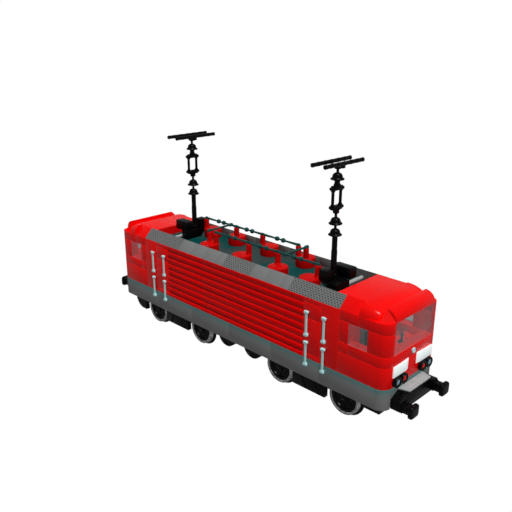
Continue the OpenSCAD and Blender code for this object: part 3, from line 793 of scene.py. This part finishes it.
class LOCO_OT_skirts(LocoOperator, bpy.types.Operator):
    """Skirts as long plates with visible joints, quarter-ring corner plates and the end aprons."""

    bl_idname = "loco.skirts"
    bl_label = "Skirts"

    def execute(self, context):
        edge = self.sizes.edge_round
        low, high = edges("skirt_left")
        count = round((high[0] - low[0]) / self.sizes.skirt_pitch)
        stops = np.linspace(low[0], high[0], count + 1)
        plates = [block((x0, low[1], low[2]), (x1, high[1], high[2]), edge)
                  for x0, x1 in zip(stops, stops[1:])]
        for name, sign in (("left", 1), ("right", -1)):
            piece(f"skirt_plates_{name}", [flip(s, 1, sign) for s in plates], "skirt", [f"skirt_{name}"])
        centre = (CORNER_X, INNER_W)
        thick = high[1] - low[1]
        corner = self.quarter_ring(centre, BRICK, thick, low[2], high[2], edge)
        piece("skirt_corner_plates", quarters([corner]), "skirt", ["skirt_corners"])
        a_low, a_high = edges("end_aprons")
        apron = block((a_high[0] - thick, a_low[1], a_low[2]), a_high, edge)
        piece("apron_plates", both_ends([apron]), "skirt", ["end_aprons"])
        return {"FINISHED"}

    def quarter_ring(self, centre, radius, thick, low, high, edge):
        """A quarter ring: a rounded rectangle, thickness by height, carried round the corner's centre
        through 90 degrees."""
        inner = radius - thick
        section = softened([[inner, low], [radius, low], [radius, high], [inner, high]], edge, 3)
        turn = np.linspace(0, np.pi / 2, 15)[:, None]
        return solid(grid(centre[0] + section[:, 0] * np.cos(turn),
                          centre[1] + section[:, 0] * np.sin(turn), section[:, 1]))


class LOCO_OT_roof_gear(LocoOperator, bpy.types.Operator):
    """Drums, posts, bus bars with their insulating rings, and a tube across half the deck at each
    end."""

    bl_idname = "loco.roof_gear"
    bl_label = "Roof Gear"

    def execute(self, context):
        drum_r, post_r = BRICK, 2.3
        drum_places = (-40.0, 0.0, 40.0, 72.0)
        post_places = (-44.0, -36.0, 4.0, 36.0, 76.0)
        drum_y, post_y = 2 * BRICK, 1.5 * BRICK
        post_top = edges("drum_posts")[1][2]
        drums = []
        for x in drum_places:
            drums.append(turned(round_rod(drum_r, TOP, ROOF_TOP, 0.4), (x, -drum_y, 0), "z", 56))
            drums.append(turned(round_rod(drum_r - 1.6, ROOF_TOP - 0.1, ROOF_TOP + 0.15, 0.1),
                                (x, -drum_y, 0), "z", 48))
        piece("drums", both_ends(drums), "drum", ["roof_drums"])
        profile = at(ROOF_TOP, [(post_r + 0.3, 0), (post_r + 0.3, 0.5), (post_r, 0.9)])
        profile += at(post_top, [(post_r, -0.3), (post_r - 0.3, 0)])
        posts = [turned(profile, (x, -post_y, 0), "z", 32) for x in post_places]
        piece("posts", both_ends(posts), "drum", ["drum_posts"])
        self.bars(post_places, post_y, post_top)
        low, high = edges("deck_bars")
        bar_r = (high[2] - low[2]) / 2
        place = (high[0] - bar_r, 0, low[2] + bar_r)
        deck_bar = turned(round_rod(bar_r, 0.3, high[1], 0.5), place, "y", 28)
        piece("deck_tubes", both_ends([deck_bar]), "light_grey", ["deck_bars"])
        return {"FINISHED"}

    def bars(self, places, y, post_top):
        """Rods from post to post, each with two rings, ball ends over the posts, and a rod across."""
        bar_r = 0.9
        neck = bar_r * 0.8
        ball = [(0.5, -1.5), (1.1, -1.2), (1.4, -0.4), (1.4, 0.4), (1.1, 1.2), (0.5, 1.5)]
        ring = [(neck, -1.7), (1.5, -1.4), (1.9, -0.7), (1.9, 0.7), (1.5, 1.4), (neck, 1.7)]
        z = post_top + bar_r
        shapes = []
        for x0, x1 in zip(places[1:], places[2:]):
            mid = (x0 + x1) / 2
            profile = at(x0, ball[:-1])
            for middle in (mid - 3.4, mid + 3.4):
                profile += at(middle, ring)
            profile += at(x1, ball[1:])
            shapes.append(turned(profile, (0, -y, z), "x", 24))
        cross = at(-y, [(0.5, -2.4), (1.3, -2.1), (1.5, -1), (1.5, 1), (bar_r, 2)])
        cross += [(r, -h) for r, h in cross[::-1]]
        shapes.append(turned(cross, (places[0], 0, z), "y", 24))
        piece("bus_rods", both_ends(shapes), "bars", ["bus_bars"])


def stud(x, y, z):
    """A stud with a rounded rim, standing on a brick at height z."""
    top = z + STUD_HIGH
    return turned([(STUD_R, z - 0.1), (STUD_R, top - 0.2), (STUD_R - 0.2, top)], (x, y, 0), "z", 32)


# Profiles, as (radius, height), and blocks, as (half depth, half width, foot, top, edge), of a mast,
# with heights counted from the top of its brick base.
DISH = [(1.2, 0.0), (4.6, 0.0), (5.0, 0.3), (5.0, 0.7), (4.75, 1.0), (4.1, 1.35), (3.75, 1.9),
        (3.62, 2.7), (3.3, 3.6), (2.7, 4.35), (1.9, 4.85), (1.0, 5.1)]
MAST_PROFILES = (
    [(2.45, -7.7), (3.2, -7.7), (3.2, -5.1), (2.9, -4.8), (2.2, -4.6), (2.2, -4.2), (2.2, 12.4),
     (2.05, 12.6), (2.0, 12.9), (2.0, 23.0), (2.0, 24.05)],
    at(24.0, DISH) + [(1.0, 32.35)],
    at(32.3, DISH) + [(1.0, 40.6)],
    [(1.2, 40.4), (2.1, 40.4), (2.3, 40.7), (2.3, 42.4), (2.6, 42.8), (2.6, 43.9)],
    [(2.5, 59.3), (2.5, 61.4), (2.0, 61.6), (2.0, 64.5)],
    at(64.4, DISH) + [(1.0, 72.2)],
    [(1.2, 71.9), (2.3, 72.1), (2.5, 72.4), (2.5, 73.1)],
)
MAST_BLOCKS = (
    (2.2, 6.0, 43.8, 46.0, 0.45), (2.2, 6.0, 57.2, 59.4, 0.45), (1.9, 4.6, 42.9, 44.0, 0.3),
    (1.9, 4.6, 59.2, 60.3, 0.3), (5.5, 1.5, 73.0, 74.95, 0.3), (2.2, 2.4, 72.9, 75.6, 0.4),
)


class LOCO_OT_masts(LocoOperator, bpy.types.Operator):
    """Masts on their brick bases: a pole of two sleeves, three bell-shaped insulators, a yoke of two
    rods between stepped blocks, and a cross-head that carries two beaded contact bars."""

    bl_idname = "loco.masts"
    bl_label = "Masts"

    def execute(self, context):
        low, high = edges("mast_front")
        bars_low, bars_high = edges("contact_bars_front")
        x, y, foot = (low[0] + high[0]) / 2, (low[1] + high[1]) / 2, low[2] - 0.3 + BRICK
        centre = (x, y, foot)
        shapes = [turned(profile, centre) for profile in MAST_PROFILES]
        shapes += [block((x - deep, y - wide, foot + z0), (x + deep, y + wide, foot + z1), edge)
                   for deep, wide, z0, z1, edge in MAST_BLOCKS]
        for side in (-4.3, 4.3):
            rod = (x, y + side, foot)
            shapes.append(turned([(1.1, 45.8), (1.1, 57.4)], rod, "z", 20))
            for z in (46.0, 56.3):
                collar = at(z, [(1.5, 0), (1.6, 0.2), (1.6, 0.7), (1.5, 0.9)])
                shapes.append(turned(collar, rod, "z", 20))
        twins(ENDS, "mast_pole_{}", shapes, "black", "mast_{}", "mast_{}_turning", 40.0)
        self.contact_bars(bars_low, bars_high)
        self.bases(foot)
        return {"FINISHED"}

    def contact_bars(self, low, high):
        """Two bars whose radius swells to a bead at each end and, as a squared cosine, to low rings."""
        radius = (high[2] - low[2]) / 2
        y = np.linspace(low[1], high[1], 121)
        reach = np.abs(y - y.mean()) / (y[-1] - y.mean())
        ripple = 0.09 * radius * np.maximum(0, np.cos(reach * 6 * np.pi)) ** 2
        bead = np.where(reach > 0.9, np.sqrt(np.clip(1 - ((reach - 0.95) / 0.053) ** 2, 0.02, 1)), 0)
        profile_r = np.maximum(0.91 * radius + ripple, radius * bead) * np.where(reach > 0.995, 0.55, 1)
        profile = np.stack([profile_r, y], axis=-1)
        z = (low[2] + high[2]) / 2
        bars = [turned(profile, (x, 0, z), "y", 24) for x in (low[0] + radius, high[0] - radius)]
        twins(ENDS, "contact_rods_{}", bars, "black", "contact_bars_{}", "mast_{}_turning", 45.0)

    def bases(self, foot):
        """Bricks under a mast: an inverted slope, lower bricks beside and behind it, an upper brick
        along the channel, and the stud in the channel that the mast stands on."""
        edge = self.sizes.edge_round
        x0 = edges("mast_base_front")[0][0]
        x1 = x0 + BRICK
        seat, x2 = foot - BRICK, x0 + 2 * BRICK
        sloped = [[-2 * BRICK, foot], [-2 * BRICK, seat], [-BRICK, TOP], [-BRICK, foot]]
        under = softened(np.array(sloped)[::-1], 0.3, 2)
        shapes = [prism(under, x0, x1, "x", edge),
                  block((x0, -BRICK, TOP), (x1, BRICK, seat), edge),
                  block((x1, -2 * BRICK, TOP), (x2, 0, seat), edge),
                  block((x0, 0, seat), (x2, BRICK, foot), edge),
                  stud((x0 + x1) / 2, -BRICK / 2, seat)]
        twins(ENDS, "mast_bricks_{}", shapes, "black", "mast_base_{}")


class LOCO_OT_buffers(LocoOperator, bpy.types.Operator):
    """Buffer beams under the steps, and buffers with square shafts and cushion-shaped heads."""

    bl_idname = "loco.buffers"
    bl_label = "Buffers"

    def execute(self, context):
        low, high = edges("buffer_beam_front")
        edge = self.sizes.edge_round
        half, half_top = high[1], 2 * BRICK
        drop = low[2] + 7
        outline = [[-half_top, high[2]], [-half, drop], [-half, low[2]], [half, low[2]], [half, drop],
                   [half_top, high[2]]]
        beam = prism(softened(outline, 0.4, 2), low[0], high[0], "x", edge)
        twins(ENDS, "buffer_bar_{}", [beam], "black", "buffer_beam_{}")
        self.heads(high[0])
        return {"FINISHED"}

    def heads(self, start_x):
        """A head's rings are rounded rectangles that swell to full size over its rim and close over
        the face along a shallow crown."""
        low, high = edges("buffers")
        head_high, head_wide, thick = high[2] - low[2], 10.0, 3.4
        z = (high[2] + low[2]) / 2
        y = high[1] - head_wide / 2
        back = high[0] - thick
        section = softened([[-0.5, -0.5], [0.5, -0.5], [0.5, 0.5], [-0.5, 0.5]], 0.26, 5)
        depth = np.array([0.0, 0.25, 0.7, 1.9, 2.5, 2.9, 3.15, 3.3, 3.38, 3.4])
        size = np.array([0.86, 0.97, 1.0, 1.0, 0.985, 0.93, 0.82, 0.62, 0.36, 0.12])
        rings = grid((back + depth)[:, None], y + size[:, None] * head_wide * section[:, 0],
                     z + size[:, None] * head_high * section[:, 1])
        shapes = [solid(rings), block((start_x - 0.3, y - 3, z - 3), (back + 0.4, y + 3, z + 3), 0.5),
                  block((start_x - 0.2, y - 3.4, z - 3.4), (start_x + 1.2, y + 3.4, z + 3.4), 0.4),
                  turned(at(back, [(3.6, -0.9), (3.9, -0.6), (4.2, 0.1)]), (0, y, z), "x", 32)]
        piece("buffer_cushions", quarters(shapes), "black", ["buffers"])


class LOCO_OT_end_steps(LocoOperator, bpy.types.Operator):
    """Light grey steps in two halves, each a plate with a tapered strip along its front edge."""

    bl_idname = "loco.end_steps"
    bl_label = "End Steps"

    def execute(self, context):
        low, high = edges("end_steps")
        long = 2 * BRICK
        taper = 2.6
        lip_x = high[0] - 2.0
        shapes = []
        for y0, y1, t0, t1 in ((-long, 0, taper, 0), (0, long, 0, taper)):
            y_in0, y_in1 = y0 + t0 * 0.75, y1 - t1 * 0.75
            main = [[HALF_L, y0], [lip_x, y_in0], [lip_x, y_in1], [HALF_L, y1]]
            front = [[lip_x, y_in0], [high[0], y0 + t0], [high[0], y1 - t1], [lip_x, y_in1]]
            shapes += [prism(softened(outline, 0.2, 2), low[2], high[2], "z", 0.25)
                       for outline in (main, front)]
        piece("step_plates", both_ends(shapes), "light_grey", ["end_steps"])
        return {"FINISHED"}


class LOCO_OT_end_trim(LocoOperator, bpy.types.Operator):
    """White end panels with their slanted tips, and a plain round disc in the middle of each end."""

    bl_idname = "loco.end_trim"
    bl_label = "End Trim"

    def execute(self, context):
        low, high = edges("white_panels")
        stand = high[0] - HALF_L
        outline = [[HALF_L, 5.0], [HALF_L + stand, BRICK], [HALF_L + stand, INNER_W], [HALF_L, INNER_W]]
        panel = prism(softened(outline, 0.15, 2), low[2], high[2], "z", 0.15)
        piece("white_plates", quarters([panel]), "white", ["white_panels"])
        d_low, d_high = edges("end_badges")
        z, radius = (d_low[2] + d_high[2]) / 2, (d_high[2] - d_low[2]) / 2
        profile = at(HALF_L, [(radius, -0.1), (radius, 0.7), (radius - 0.3, 1.0), (radius - 0.7, 1.0),
                              (radius - 0.8, 0.75), (0.3, 0.75)])
        disc = turned(profile, (0, 0, z), "x", 32)
        piece("end_discs", both_ends([disc]), "pale_grey", ["end_badges"])
        return {"FINISHED"}


class LOCO_OT_lamps(LocoOperator, bpy.types.Operator):
    """Twin lamps: barrels with a rolled rim round a recess, and domed glasses, white outside and red
    inside. A glass is a cap whose radius follows the square root of one minus its height squared."""

    bl_idname = "loco.lamps"
    bl_label = "Lamps"

    def execute(self, context):
        low, high = edges("lamp_housings")
        radius = (high[2] - low[2]) / 2
        z = (high[2] + low[2]) / 2
        front = high[0]
        outer, inner = high[1] - radius, high[1] - radius - BRICK
        lens = edges("headlight_glasses")
        lens_r = (lens[1][2] - lens[0][2]) / 2
        profile = [(radius, HALF_L)] + at(front, [
            (radius, -0.5), (radius - 0.25, -0.1), (radius - 0.6, 0), (lens_r + 0.6, 0),
            (lens_r + 0.25, -0.2), (lens_r + 0.1, -0.9), (0.2, -0.95)])
        barrels = [turned(profile, (0, y, z), "x", 40) for y in (outer, inner)]
        half = radius - 0.1
        barrels.append(block((HALF_L, inner, z - half), (HALF_L + 1.4, outer, z + half), 0.3))
        piece("lamp_barrels", quarters(barrels), "black", ["lamp_housings"])
        rise = np.linspace(0, 1, 9)
        bulge = self.sizes.lens_bulge
        cap = np.stack([lens_r * np.sqrt(1 - 0.985 * rise ** 2), front - 0.95 + bulge * rise], axis=-1)
        for name, y, finish, node in (("headlight_lenses", outer, "clear", "headlight_glasses"),
                                      ("tail_light_lenses", inner, "tail", "tail_light_glasses")):
            glass = turned(cap, (0, y, z), "x", 32)
            piece(name, quarters([glass]), finish, [node])
        return {"FINISHED"}


class LOCO_OT_grab_rails(LocoOperator, bpy.types.Operator):
    """Grab rails like clip bars: a rounded rectangle carried up the rail, whose width and depth swell
    from the thin bar to a head at each end, w(t) = bar + (head - bar) times a smooth step of the
    distance from the middle."""

    bl_idname = "loco.grab_rails"
    bl_label = "Grab Rails"

    def execute(self, context):
        low, high = edges("grab_rails_left")
        long = self.sizes.rail_high
        stand = high[1] - HALF_W
        places = (CAB_X - 1.5 * BRICK, CAB_X - 3.5 * BRICK)
        spots = [(side * x, z) for x in places for side in (-1, 1) for z in (low[2], high[2] - long)]
        rails = [self.rail(x, z, long, stand) for x, z in spots]
        feet = [block((x - 1.2, HALF_W - 0.1, z + rise), (x + 1.2, HALF_W + 1.2, z + rise + 2), 0.3)
                for x, z in spots for rise in (0.4, long - 2.4)]
        twins(SIDES, "clip_rails_{}", rails + feet, "pale_grey", "grab_rails_{}", "body", 40.0)
        return {"FINISHED"}

    def rail(self, x, z, long, stand):
        """One rail, its middle line upright at x and 0.55 of its stand out of the wall."""
        t = np.concatenate([[0.0, 0.008, 0.02], np.linspace(0.05, 0.95, 31), [0.98, 0.992, 1.0]])
        reach = np.abs(2 * t - 1)
        head = np.clip((reach - 0.70) / 0.14, 0, 1)
        head = head * head * (3 - 2 * head)
        close = np.clip((1 - reach) / 0.04, 0, 1) ** 0.5
        wide = (0.85 + 1.05 * head) * (0.75 + 0.25 * close)
        deep = (0.62 + 0.40 * head) * (0.70 + 0.30 * close)
        section = softened([[-1, -1], [1, -1], [1, 1], [-1, 1]], 0.55, 4)
        return solid(grid(x + wide[:, None] * section[:, 0],
                          HALF_W + stand - 1.02 + deep[:, None] * section[:, 1],
                          (z + long * t)[:, None]))


class LOCO_OT_cab_inside(LocoOperator, bpy.types.Operator):
    """Inside the cabs: a desk with studs and a control stand, a seat with a curved back, and a red
    partition with a grey door."""

    bl_idname = "loco.cab_inside"
    bl_label = "Cab Inside"

    def execute(self, context):
        edge = self.sizes.edge_round
        wide, desk_top = edges("cab_consoles")[1][1:]
        desk_top -= STUD_HIGH
        back = CORNER_X - 12
        desk = [block((back, -wide, FOOT), (CORNER_X, 0, desk_top), edge),
                block((back, 0, FOOT), (CORNER_X, wide, desk_top), edge)]
        desk += [stud(CORNER_X - BRICK / 2, y, desk_top) for y in (-BRICK / 2, 1.5 * BRICK, -2 * BRICK)]
        piece("cab_desks", both_ends(desk), "red", ["cab_consoles"])
        stick = turned([(2.4, 0), (2.4, 1), (0.9, 1.3), (0.8, 5), (1.3, 5.4), (1.3, 6.6), (0.5, 7.1)],
                       (CORNER_X - BRICK / 2, BRICK / 2, desk_top), "z", 20)
        screen = wedge(np.array([[-11, -14, -0.1], [-7, -14, -0.1], [-7, -6, -0.1], [-11, -6, -0.1],
                                 [-7.6, -14, 5], [-7.6, -6, 5]]) + [CORNER_X, 0, desk_top],
                       [[0, 3, 2, 1], [0, 4, 5, 3], [1, 2, 5, 4]], [[0, 1, 4], [3, 5, 2]])
        piece("cab_controls", both_ends([stick, screen]), "black")
        s_low, s_high = edges("cab_seats")
        seat_x0, half = s_high[0] - 12, s_high[1]
        seat_top = (s_low[2] + s_high[2]) / 2
        seat = [block((seat_x0 + 3, -4, FOOT), (seat_x0 + 9, 4, seat_top - 3), 0.6),
                block((seat_x0, -half, seat_top - 4), (seat_x0 + 12, half, seat_top), 1.2, 4),
                self.back_rest(seat_x0, half, seat_top, s_high[2])]
        piece("driver_seats", both_ends(seat), "seat", ["cab_seats"])
        wall_x = edges("cab_bulkheads")[1][0]
        door = block((wall_x - 0.1, -6, FOOT + 1), (wall_x + 0.7, 6, FOOT + 40), 0.3)
        knob = turned([(0.9, 0), (0.9, 0.8), (0.6, 1.1)], (wall_x + 0.6, 4.4, FOOT + 20), "x", 16)
        piece("partition_doors", both_ends([door, knob]), "dark_grey")
        return {"FINISHED"}

    def back_rest(self, x, half, z0, z1):
        """A seat back carried up from a section bowed back by the square of its place across."""
        across = np.linspace(-1, 1, 13)
        front = np.stack([3.0 + 1.0 * across ** 2, half * across], axis=-1)
        rear = np.stack([0.3 + 0.8 * across ** 2, half * across], axis=-1)[::-1]
        outline = np.concatenate([front, rear]) + [x, 0]
        return prism(outline, z0 - 0.3, z1, "z", 0.5)


class LOCO_OT_side_windows(LocoOperator, bpy.types.Operator):
    """Smoked side panes with rounded edges, flush with the wall."""

    bl_idname = "loco.side_windows"
    bl_label = "Side Windows"

    def execute(self, context):
        gap = 0.08
        x1 = WINDOW_HIGH[0]
        pane = block((x1 - 2 * BRICK + gap, HALF_W - 1.5, WINDOW_LOW[2] + gap),
                     (x1 - gap, HALF_W - 0.05, WINDOW_HIGH[2] - gap), 0.25)
        piece("side_panes", quarters([pane]), "smoke", ["side_windows"])
        return {"FINISHED"}


class LOCO_OT_underfloor(LocoOperator, bpy.types.Operator):
    """Underfloor equipment: a row of boxes and round tanks with raised rims."""

    bl_idname = "loco.underfloor"
    bl_label = "Underfloor"

    def execute(self, context):
        low, high = edges("underfloor_box")
        edge = self.sizes.edge_round
        stops = np.linspace(low[0], high[0], 8)
        boxes = [block((x0, low[1], low[2]), (x1, high[1], high[2]), edge * 1.6)
                 for x0, x1 in zip(stops, stops[1:])]
        piece("battery_boxes", boxes, "black", ["underfloor_box"])
        t_low, t_high = edges("underfloor_tanks")
        radius = 10.0
        z = t_low[2] + radius
        face = t_low[1]
        wall = low[1]
        profile = at(wall, [(radius - 0.3, 0), (radius, -0.3)]) + at(face, [
            (radius, 0.5), (radius - 0.5, 0), (radius - 1.6, 0), (radius - 2.0, 0.7), (3.2, 0.7),
            (2.9, 0.1), (2.4, 0), (0.4, 0)])
        tanks = [turned(profile, (x, 0, z), "y", 48) for x in (t_high[0] - radius, -12.0)]
        piece("air_tanks", both_ends(tanks), "black", ["underfloor_tanks"])
        return {"FINISHED"}


class LOCO_OT_bogies(LocoOperator, bpy.types.Operator):
    """Bogie side panels with two slanted ribs and rounded edges."""

    bl_idname = "loco.bogies"
    bl_label = "Bogie Sides"

    def execute(self, context):
        low, high = edges("bogie_sides_front")
        edge = self.sizes.edge_round
        thick = 4.0
        outer = low[1]
        shapes = []
        for side in (-1, 1):
            y0, y1 = sorted((side * -outer, side * (-outer - thick)))
            shapes.append(block((low[0], y0, low[2]), (high[0], y1, high[2]), edge))
            for x in (-6.0, 6.0):
                lean = 3.0
                rib = [[PIVOT_X + x - lean, high[2] - 0.4], [PIVOT_X + x - lean + 1.3, high[2] - 0.4],
                       [PIVOT_X + x + lean + 1.3, low[2] + 0.4], [PIVOT_X + x + lean, low[2] + 0.4]]
                face = side * -outer
                f0, f1 = sorted((face - side * 0.2, face + side * 0.45))
                shapes.append(prism(np.array(rib)[:, ::-1], f0, f1, "y", 0.15))
        twins(ENDS, "bogie_panels_{}", shapes, "black", "bogie_sides_{}", "bogie_{}")
        return {"FINISHED"}


class LOCO_OT_wheels(LocoOperator, bpy.types.Operator):
    """Wheelsets: a flange, a dished centre with studs round a hub cap, and tread rings with rounded
    edges. Both wheels and the axle are one piece, attached to the axle's body."""

    bl_idname = "loco.wheels"
    bl_label = "Wheels"

    def execute(self, context):
        for number in range(1, 5):
            low, high = edges(f"wheelset_{number}")
            ring_low, ring_high = edges(f"tread_rings_{number}")
            centre = ((low[0] + high[0]) / 2, 0, (low[2] + high[2]) / 2)
            flange = (high[2] - low[2]) / 2
            tread = (ring_high[2] - ring_low[2]) / 2
            hub = tread - 2.1
            face = ring_high[1]
            inner = face - 3.6
            back = inner - 2.4
            centre_profile = at(back, [(3.5, -0.5), (flange - 2.4, 0), (flange - 0.5, 0), (flange, 0.6),
                                       (flange, 1.3)])
            centre_profile += at(inner, [(flange - 0.7, -0.2), (flange - 1.2, 0), (hub, 0)])
            centre_profile += at(face, [
                (hub, -0.3), (hub - 0.4, -0.1), (8.9, -0.1), (8.5, -0.5), (8.2, -1.5), (3.9, -1.7),
                (3.3, -1.3), (3.1, -0.3), (2.7, -0.05), (1.4, -0.05), (1.2, -0.5), (0.2, -0.5)])
            wheel = [turned(centre_profile, centre, "y", 56)]
            wheel += self.studs(centre, face)
            shapes = both_sides(wheel)
            shapes.append(turned([(2.0, -back - 0.4), (2.0, back + 0.4)], centre, "y", 24))
            piece(f"wheel_pair_{number}", shapes, "black", [f"wheelset_{number}"], body=f"axle_{number}")
            ring = turned_ring([(hub, inner), (tread, inner)] + at(face, [
                (tread, -0.35), (tread - 0.1, -0.1), (tread - 0.35, 0), (hub + 0.3, 0), (hub, -0.3)]),
                centre, "y")
            piece(f"wheel_treads_{number}", both_sides([ring]), "ring", [f"tread_rings_{number}"],
                  body=f"axle_{number}")
        return {"FINISHED"}

    def studs(self, centre, face):
        """Eight round studs on a wheel's dish, an eighth of a turn apart."""
        shapes = []
        for k in range(8):
            angle = k * math.pi / 4
            x, z = centre[0] + 6.1 * math.cos(angle), centre[2] + 6.1 * math.sin(angle)
            profile = at(face, [(0.95, -1.9), (0.95, -0.9), (0.8, -0.65), (0.3, -0.55)])
            shapes.append(turned(profile, (x, 0, z), "y", 14))
        return shapes


PLAIN_NODES = {
    "underframe": "dark_grey", "roof_deck": "deck", "cab_bulkheads": "red", "windscreen_front": "smoke",
    "windscreen_rear": "smoke", "bogie_frame_front": "black", "bogie_frame_rear": "black",
}


class LOCO_OT_plain_nodes(LocoOperator, bpy.types.Operator):
    """Finishes for the frame's own nodes that are shown as they are."""

    bl_idname = "loco.plain_nodes"
    bl_label = "Frame Finishes"

    def execute(self, context):
        for node, finish in PLAIN_NODES.items():
            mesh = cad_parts[node].data
            mesh.materials.clear()
            mesh.materials.append(FINISHES[finish])
        return {"FINISHED"}


class LOCO_OT_stage(LocoOperator, bpy.types.Operator):
    """Floor, an even sky, a key light from above, a back light that makes no highlights, and the
    camera."""

    bl_idname = "loco.stage"
    bl_label = "Stage"

    def execute(self, context):
        stage = context.scene.loco_stage
        context.scene.view_settings.view_transform = "Standard"
        self.floor(stage)
        self.sky(stage)
        self.sun("key_light", (0.278, -0.076, 0.70), stage.key, 4.0)
        self.sun("back_light", (-0.45, 0.32, 0.05), 0.45 * stage.key, 20.0).visible_glossy = False
        self.camera(stage)
        return {"FINISHED"}

    def seen(self, nodes, links, shown, other, target):
        """Joins two shaders: one for what the camera sees, the other for the light it gives."""
        path = nodes.new("ShaderNodeLightPath")
        mixer = nodes.new("ShaderNodeMixShader")
        links.new(path.outputs["Is Camera Ray"], mixer.inputs[0])
        links.new(other, mixer.inputs[1])
        links.new(shown, mixer.inputs[2])
        links.new(mixer.outputs[0], target)

    def floor(self, stage):
        """A large floor: white to the camera as far as the stage's setting says, and grey as a source
        of light from below."""
        side = 30.0
        mesh = bpy.data.meshes.new("floor")
        mesh.from_pydata([(-side, -side, 0), (side, -side, 0), (side, side, 0), (-side, side, 0)], [],
                         [(0, 1, 2, 3)])
        finish = Finish("floor_paint", Specular_IOR_Level=0.0)
        grain = finish.noise(18.0, 4.0)
        finish.surface(Base_Color=finish.mix(shade(stage.floor, 0.97), shade(stage.floor, 1.03), grain),
                       Roughness=0.8 + 0.1 * grain)
        tree = finish.material.node_tree
        glow = tree.nodes.new("ShaderNodeEmission")
        seen = tree.nodes.new("ShaderNodeMixShader")
        seen.inputs[0].default_value = stage.white_floor
        tree.links.new(finish.shader.outputs[0], seen.inputs[1])
        tree.links.new(glow.outputs[0], seen.inputs[2])
        output = next(node for node in tree.nodes if node.type == "OUTPUT_MATERIAL")
        self.seen(tree.nodes, tree.links, seen.outputs[0], finish.shader.outputs[0], output.inputs[0])
        mesh.materials.append(finish.material)
        made = bpy.data.objects.new("floor", mesh)
        bpy.context.scene.collection.objects.link(made)

    def sky(self, stage):
        """White behind the locomotive, and an even grey as its light."""
        world = bpy.data.worlds.new("pale_sky")
        world.use_nodes = True
        tree = world.node_tree
        light = tree.nodes["Background"]
        light.inputs[0].default_value = (1.0, 1.0, 1.0, 1.0)
        light.inputs[1].default_value = stage.ambient
        white = tree.nodes.new("ShaderNodeBackground")
        white.inputs[0].default_value = (1.0, 1.0, 1.0, 1.0)
        output = next(node for node in tree.nodes if node.type == "OUTPUT_WORLD")
        self.seen(tree.nodes, tree.links, white.outputs[0], light.outputs[0], output.inputs[0])
        bpy.context.scene.world = world

    def sun(self, name, towards, strength, spread):
        """A sun without shadows, from the given direction."""
        light = bpy.data.lights.new(name, "SUN")
        light.energy = strength
        light.angle = math.radians(spread)
        light.use_shadow = False
        made = bpy.data.objects.new(name, light)
        made.location = Vector(towards).normalized()
        made.rotation_euler = (-Vector(towards)).to_track_quat("-Z", "Y").to_euler()
        bpy.context.scene.collection.objects.link(made)
        return made

    def camera(self, stage):
        lens = bpy.data.cameras.new("camera")
        lens.lens = stage.lens
        lens.sensor_width = 36.0
        lens.clip_start = 0.01
        made = bpy.data.objects.new("camera", lens)
        level = math.cos(stage.elevation)
        back = Vector((math.sin(stage.azimuth) * level, -math.cos(stage.azimuth) * level,
                       math.sin(stage.elevation)))
        made.location = stage.place
        made.rotation_euler = (-back).to_track_quat("-Z", "Y").to_euler()
        bpy.context.scene.collection.objects.link(made)
        bpy.context.scene.camera = made


class LOCO_PT_sidebar(bpy.types.Panel):
    """Lists the locomotive's sizes, colours and pieces."""

    bl_label = "Toy Locomotive"
    bl_idname = "LOCO_PT_sidebar"
    bl_space_type = "VIEW_3D"
    bl_region_type = "UI"
    bl_category = "Locomotive"

    def draw(self, context):
        for group in (context.scene.loco_sizes, context.scene.loco_colours, context.scene.loco_stage):
            box = self.layout.box()
            for name in group.__annotations__:
                box.prop(group, name)
        for operator in OPERATORS:
            self.layout.operator(operator.bl_idname)


OPERATORS = (LOCO_OT_stage, LOCO_OT_body_bricks, LOCO_OT_grilles, LOCO_OT_cab_bricks, LOCO_OT_cab_roofs,
             LOCO_OT_roof_slopes, LOCO_OT_roof_vents, LOCO_OT_skirts, LOCO_OT_roof_gear, LOCO_OT_masts,
             LOCO_OT_buffers, LOCO_OT_end_steps, LOCO_OT_end_trim, LOCO_OT_lamps, LOCO_OT_grab_rails,
             LOCO_OT_cab_inside, LOCO_OT_side_windows, LOCO_OT_underfloor, LOCO_OT_bogies,
             LOCO_OT_wheels, LOCO_OT_plain_nodes)
GROUPS = (("loco_sizes", LocoSizes), ("loco_colours", LocoColours), ("loco_stage", LocoStage))
CLASSES = (*(group for _, group in GROUPS), *OPERATORS, LOCO_PT_sidebar)


def register():
    for cls in CLASSES:
        bpy.utils.register_class(cls)
    for name, group in GROUPS:
        setattr(bpy.types.Scene, name, bpy.props.PointerProperty(type=group))


def unregister():
    for name, _ in GROUPS:
        delattr(bpy.types.Scene, name)
    for cls in reversed(CLASSES):
        bpy.utils.unregister_class(cls)


def main():
    register()
    for spare in ("Cube", "Light", "Camera"):
        if spare in bpy.data.objects:
            bpy.data.objects.remove(bpy.data.objects[spare])
    make_finishes(bpy.context.scene.loco_colours)
    for operator in OPERATORS:
        space, name = operator.bl_idname.split(".")
        getattr(getattr(bpy.ops, space), name)()
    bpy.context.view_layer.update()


if __name__ == "__main__":
    main()
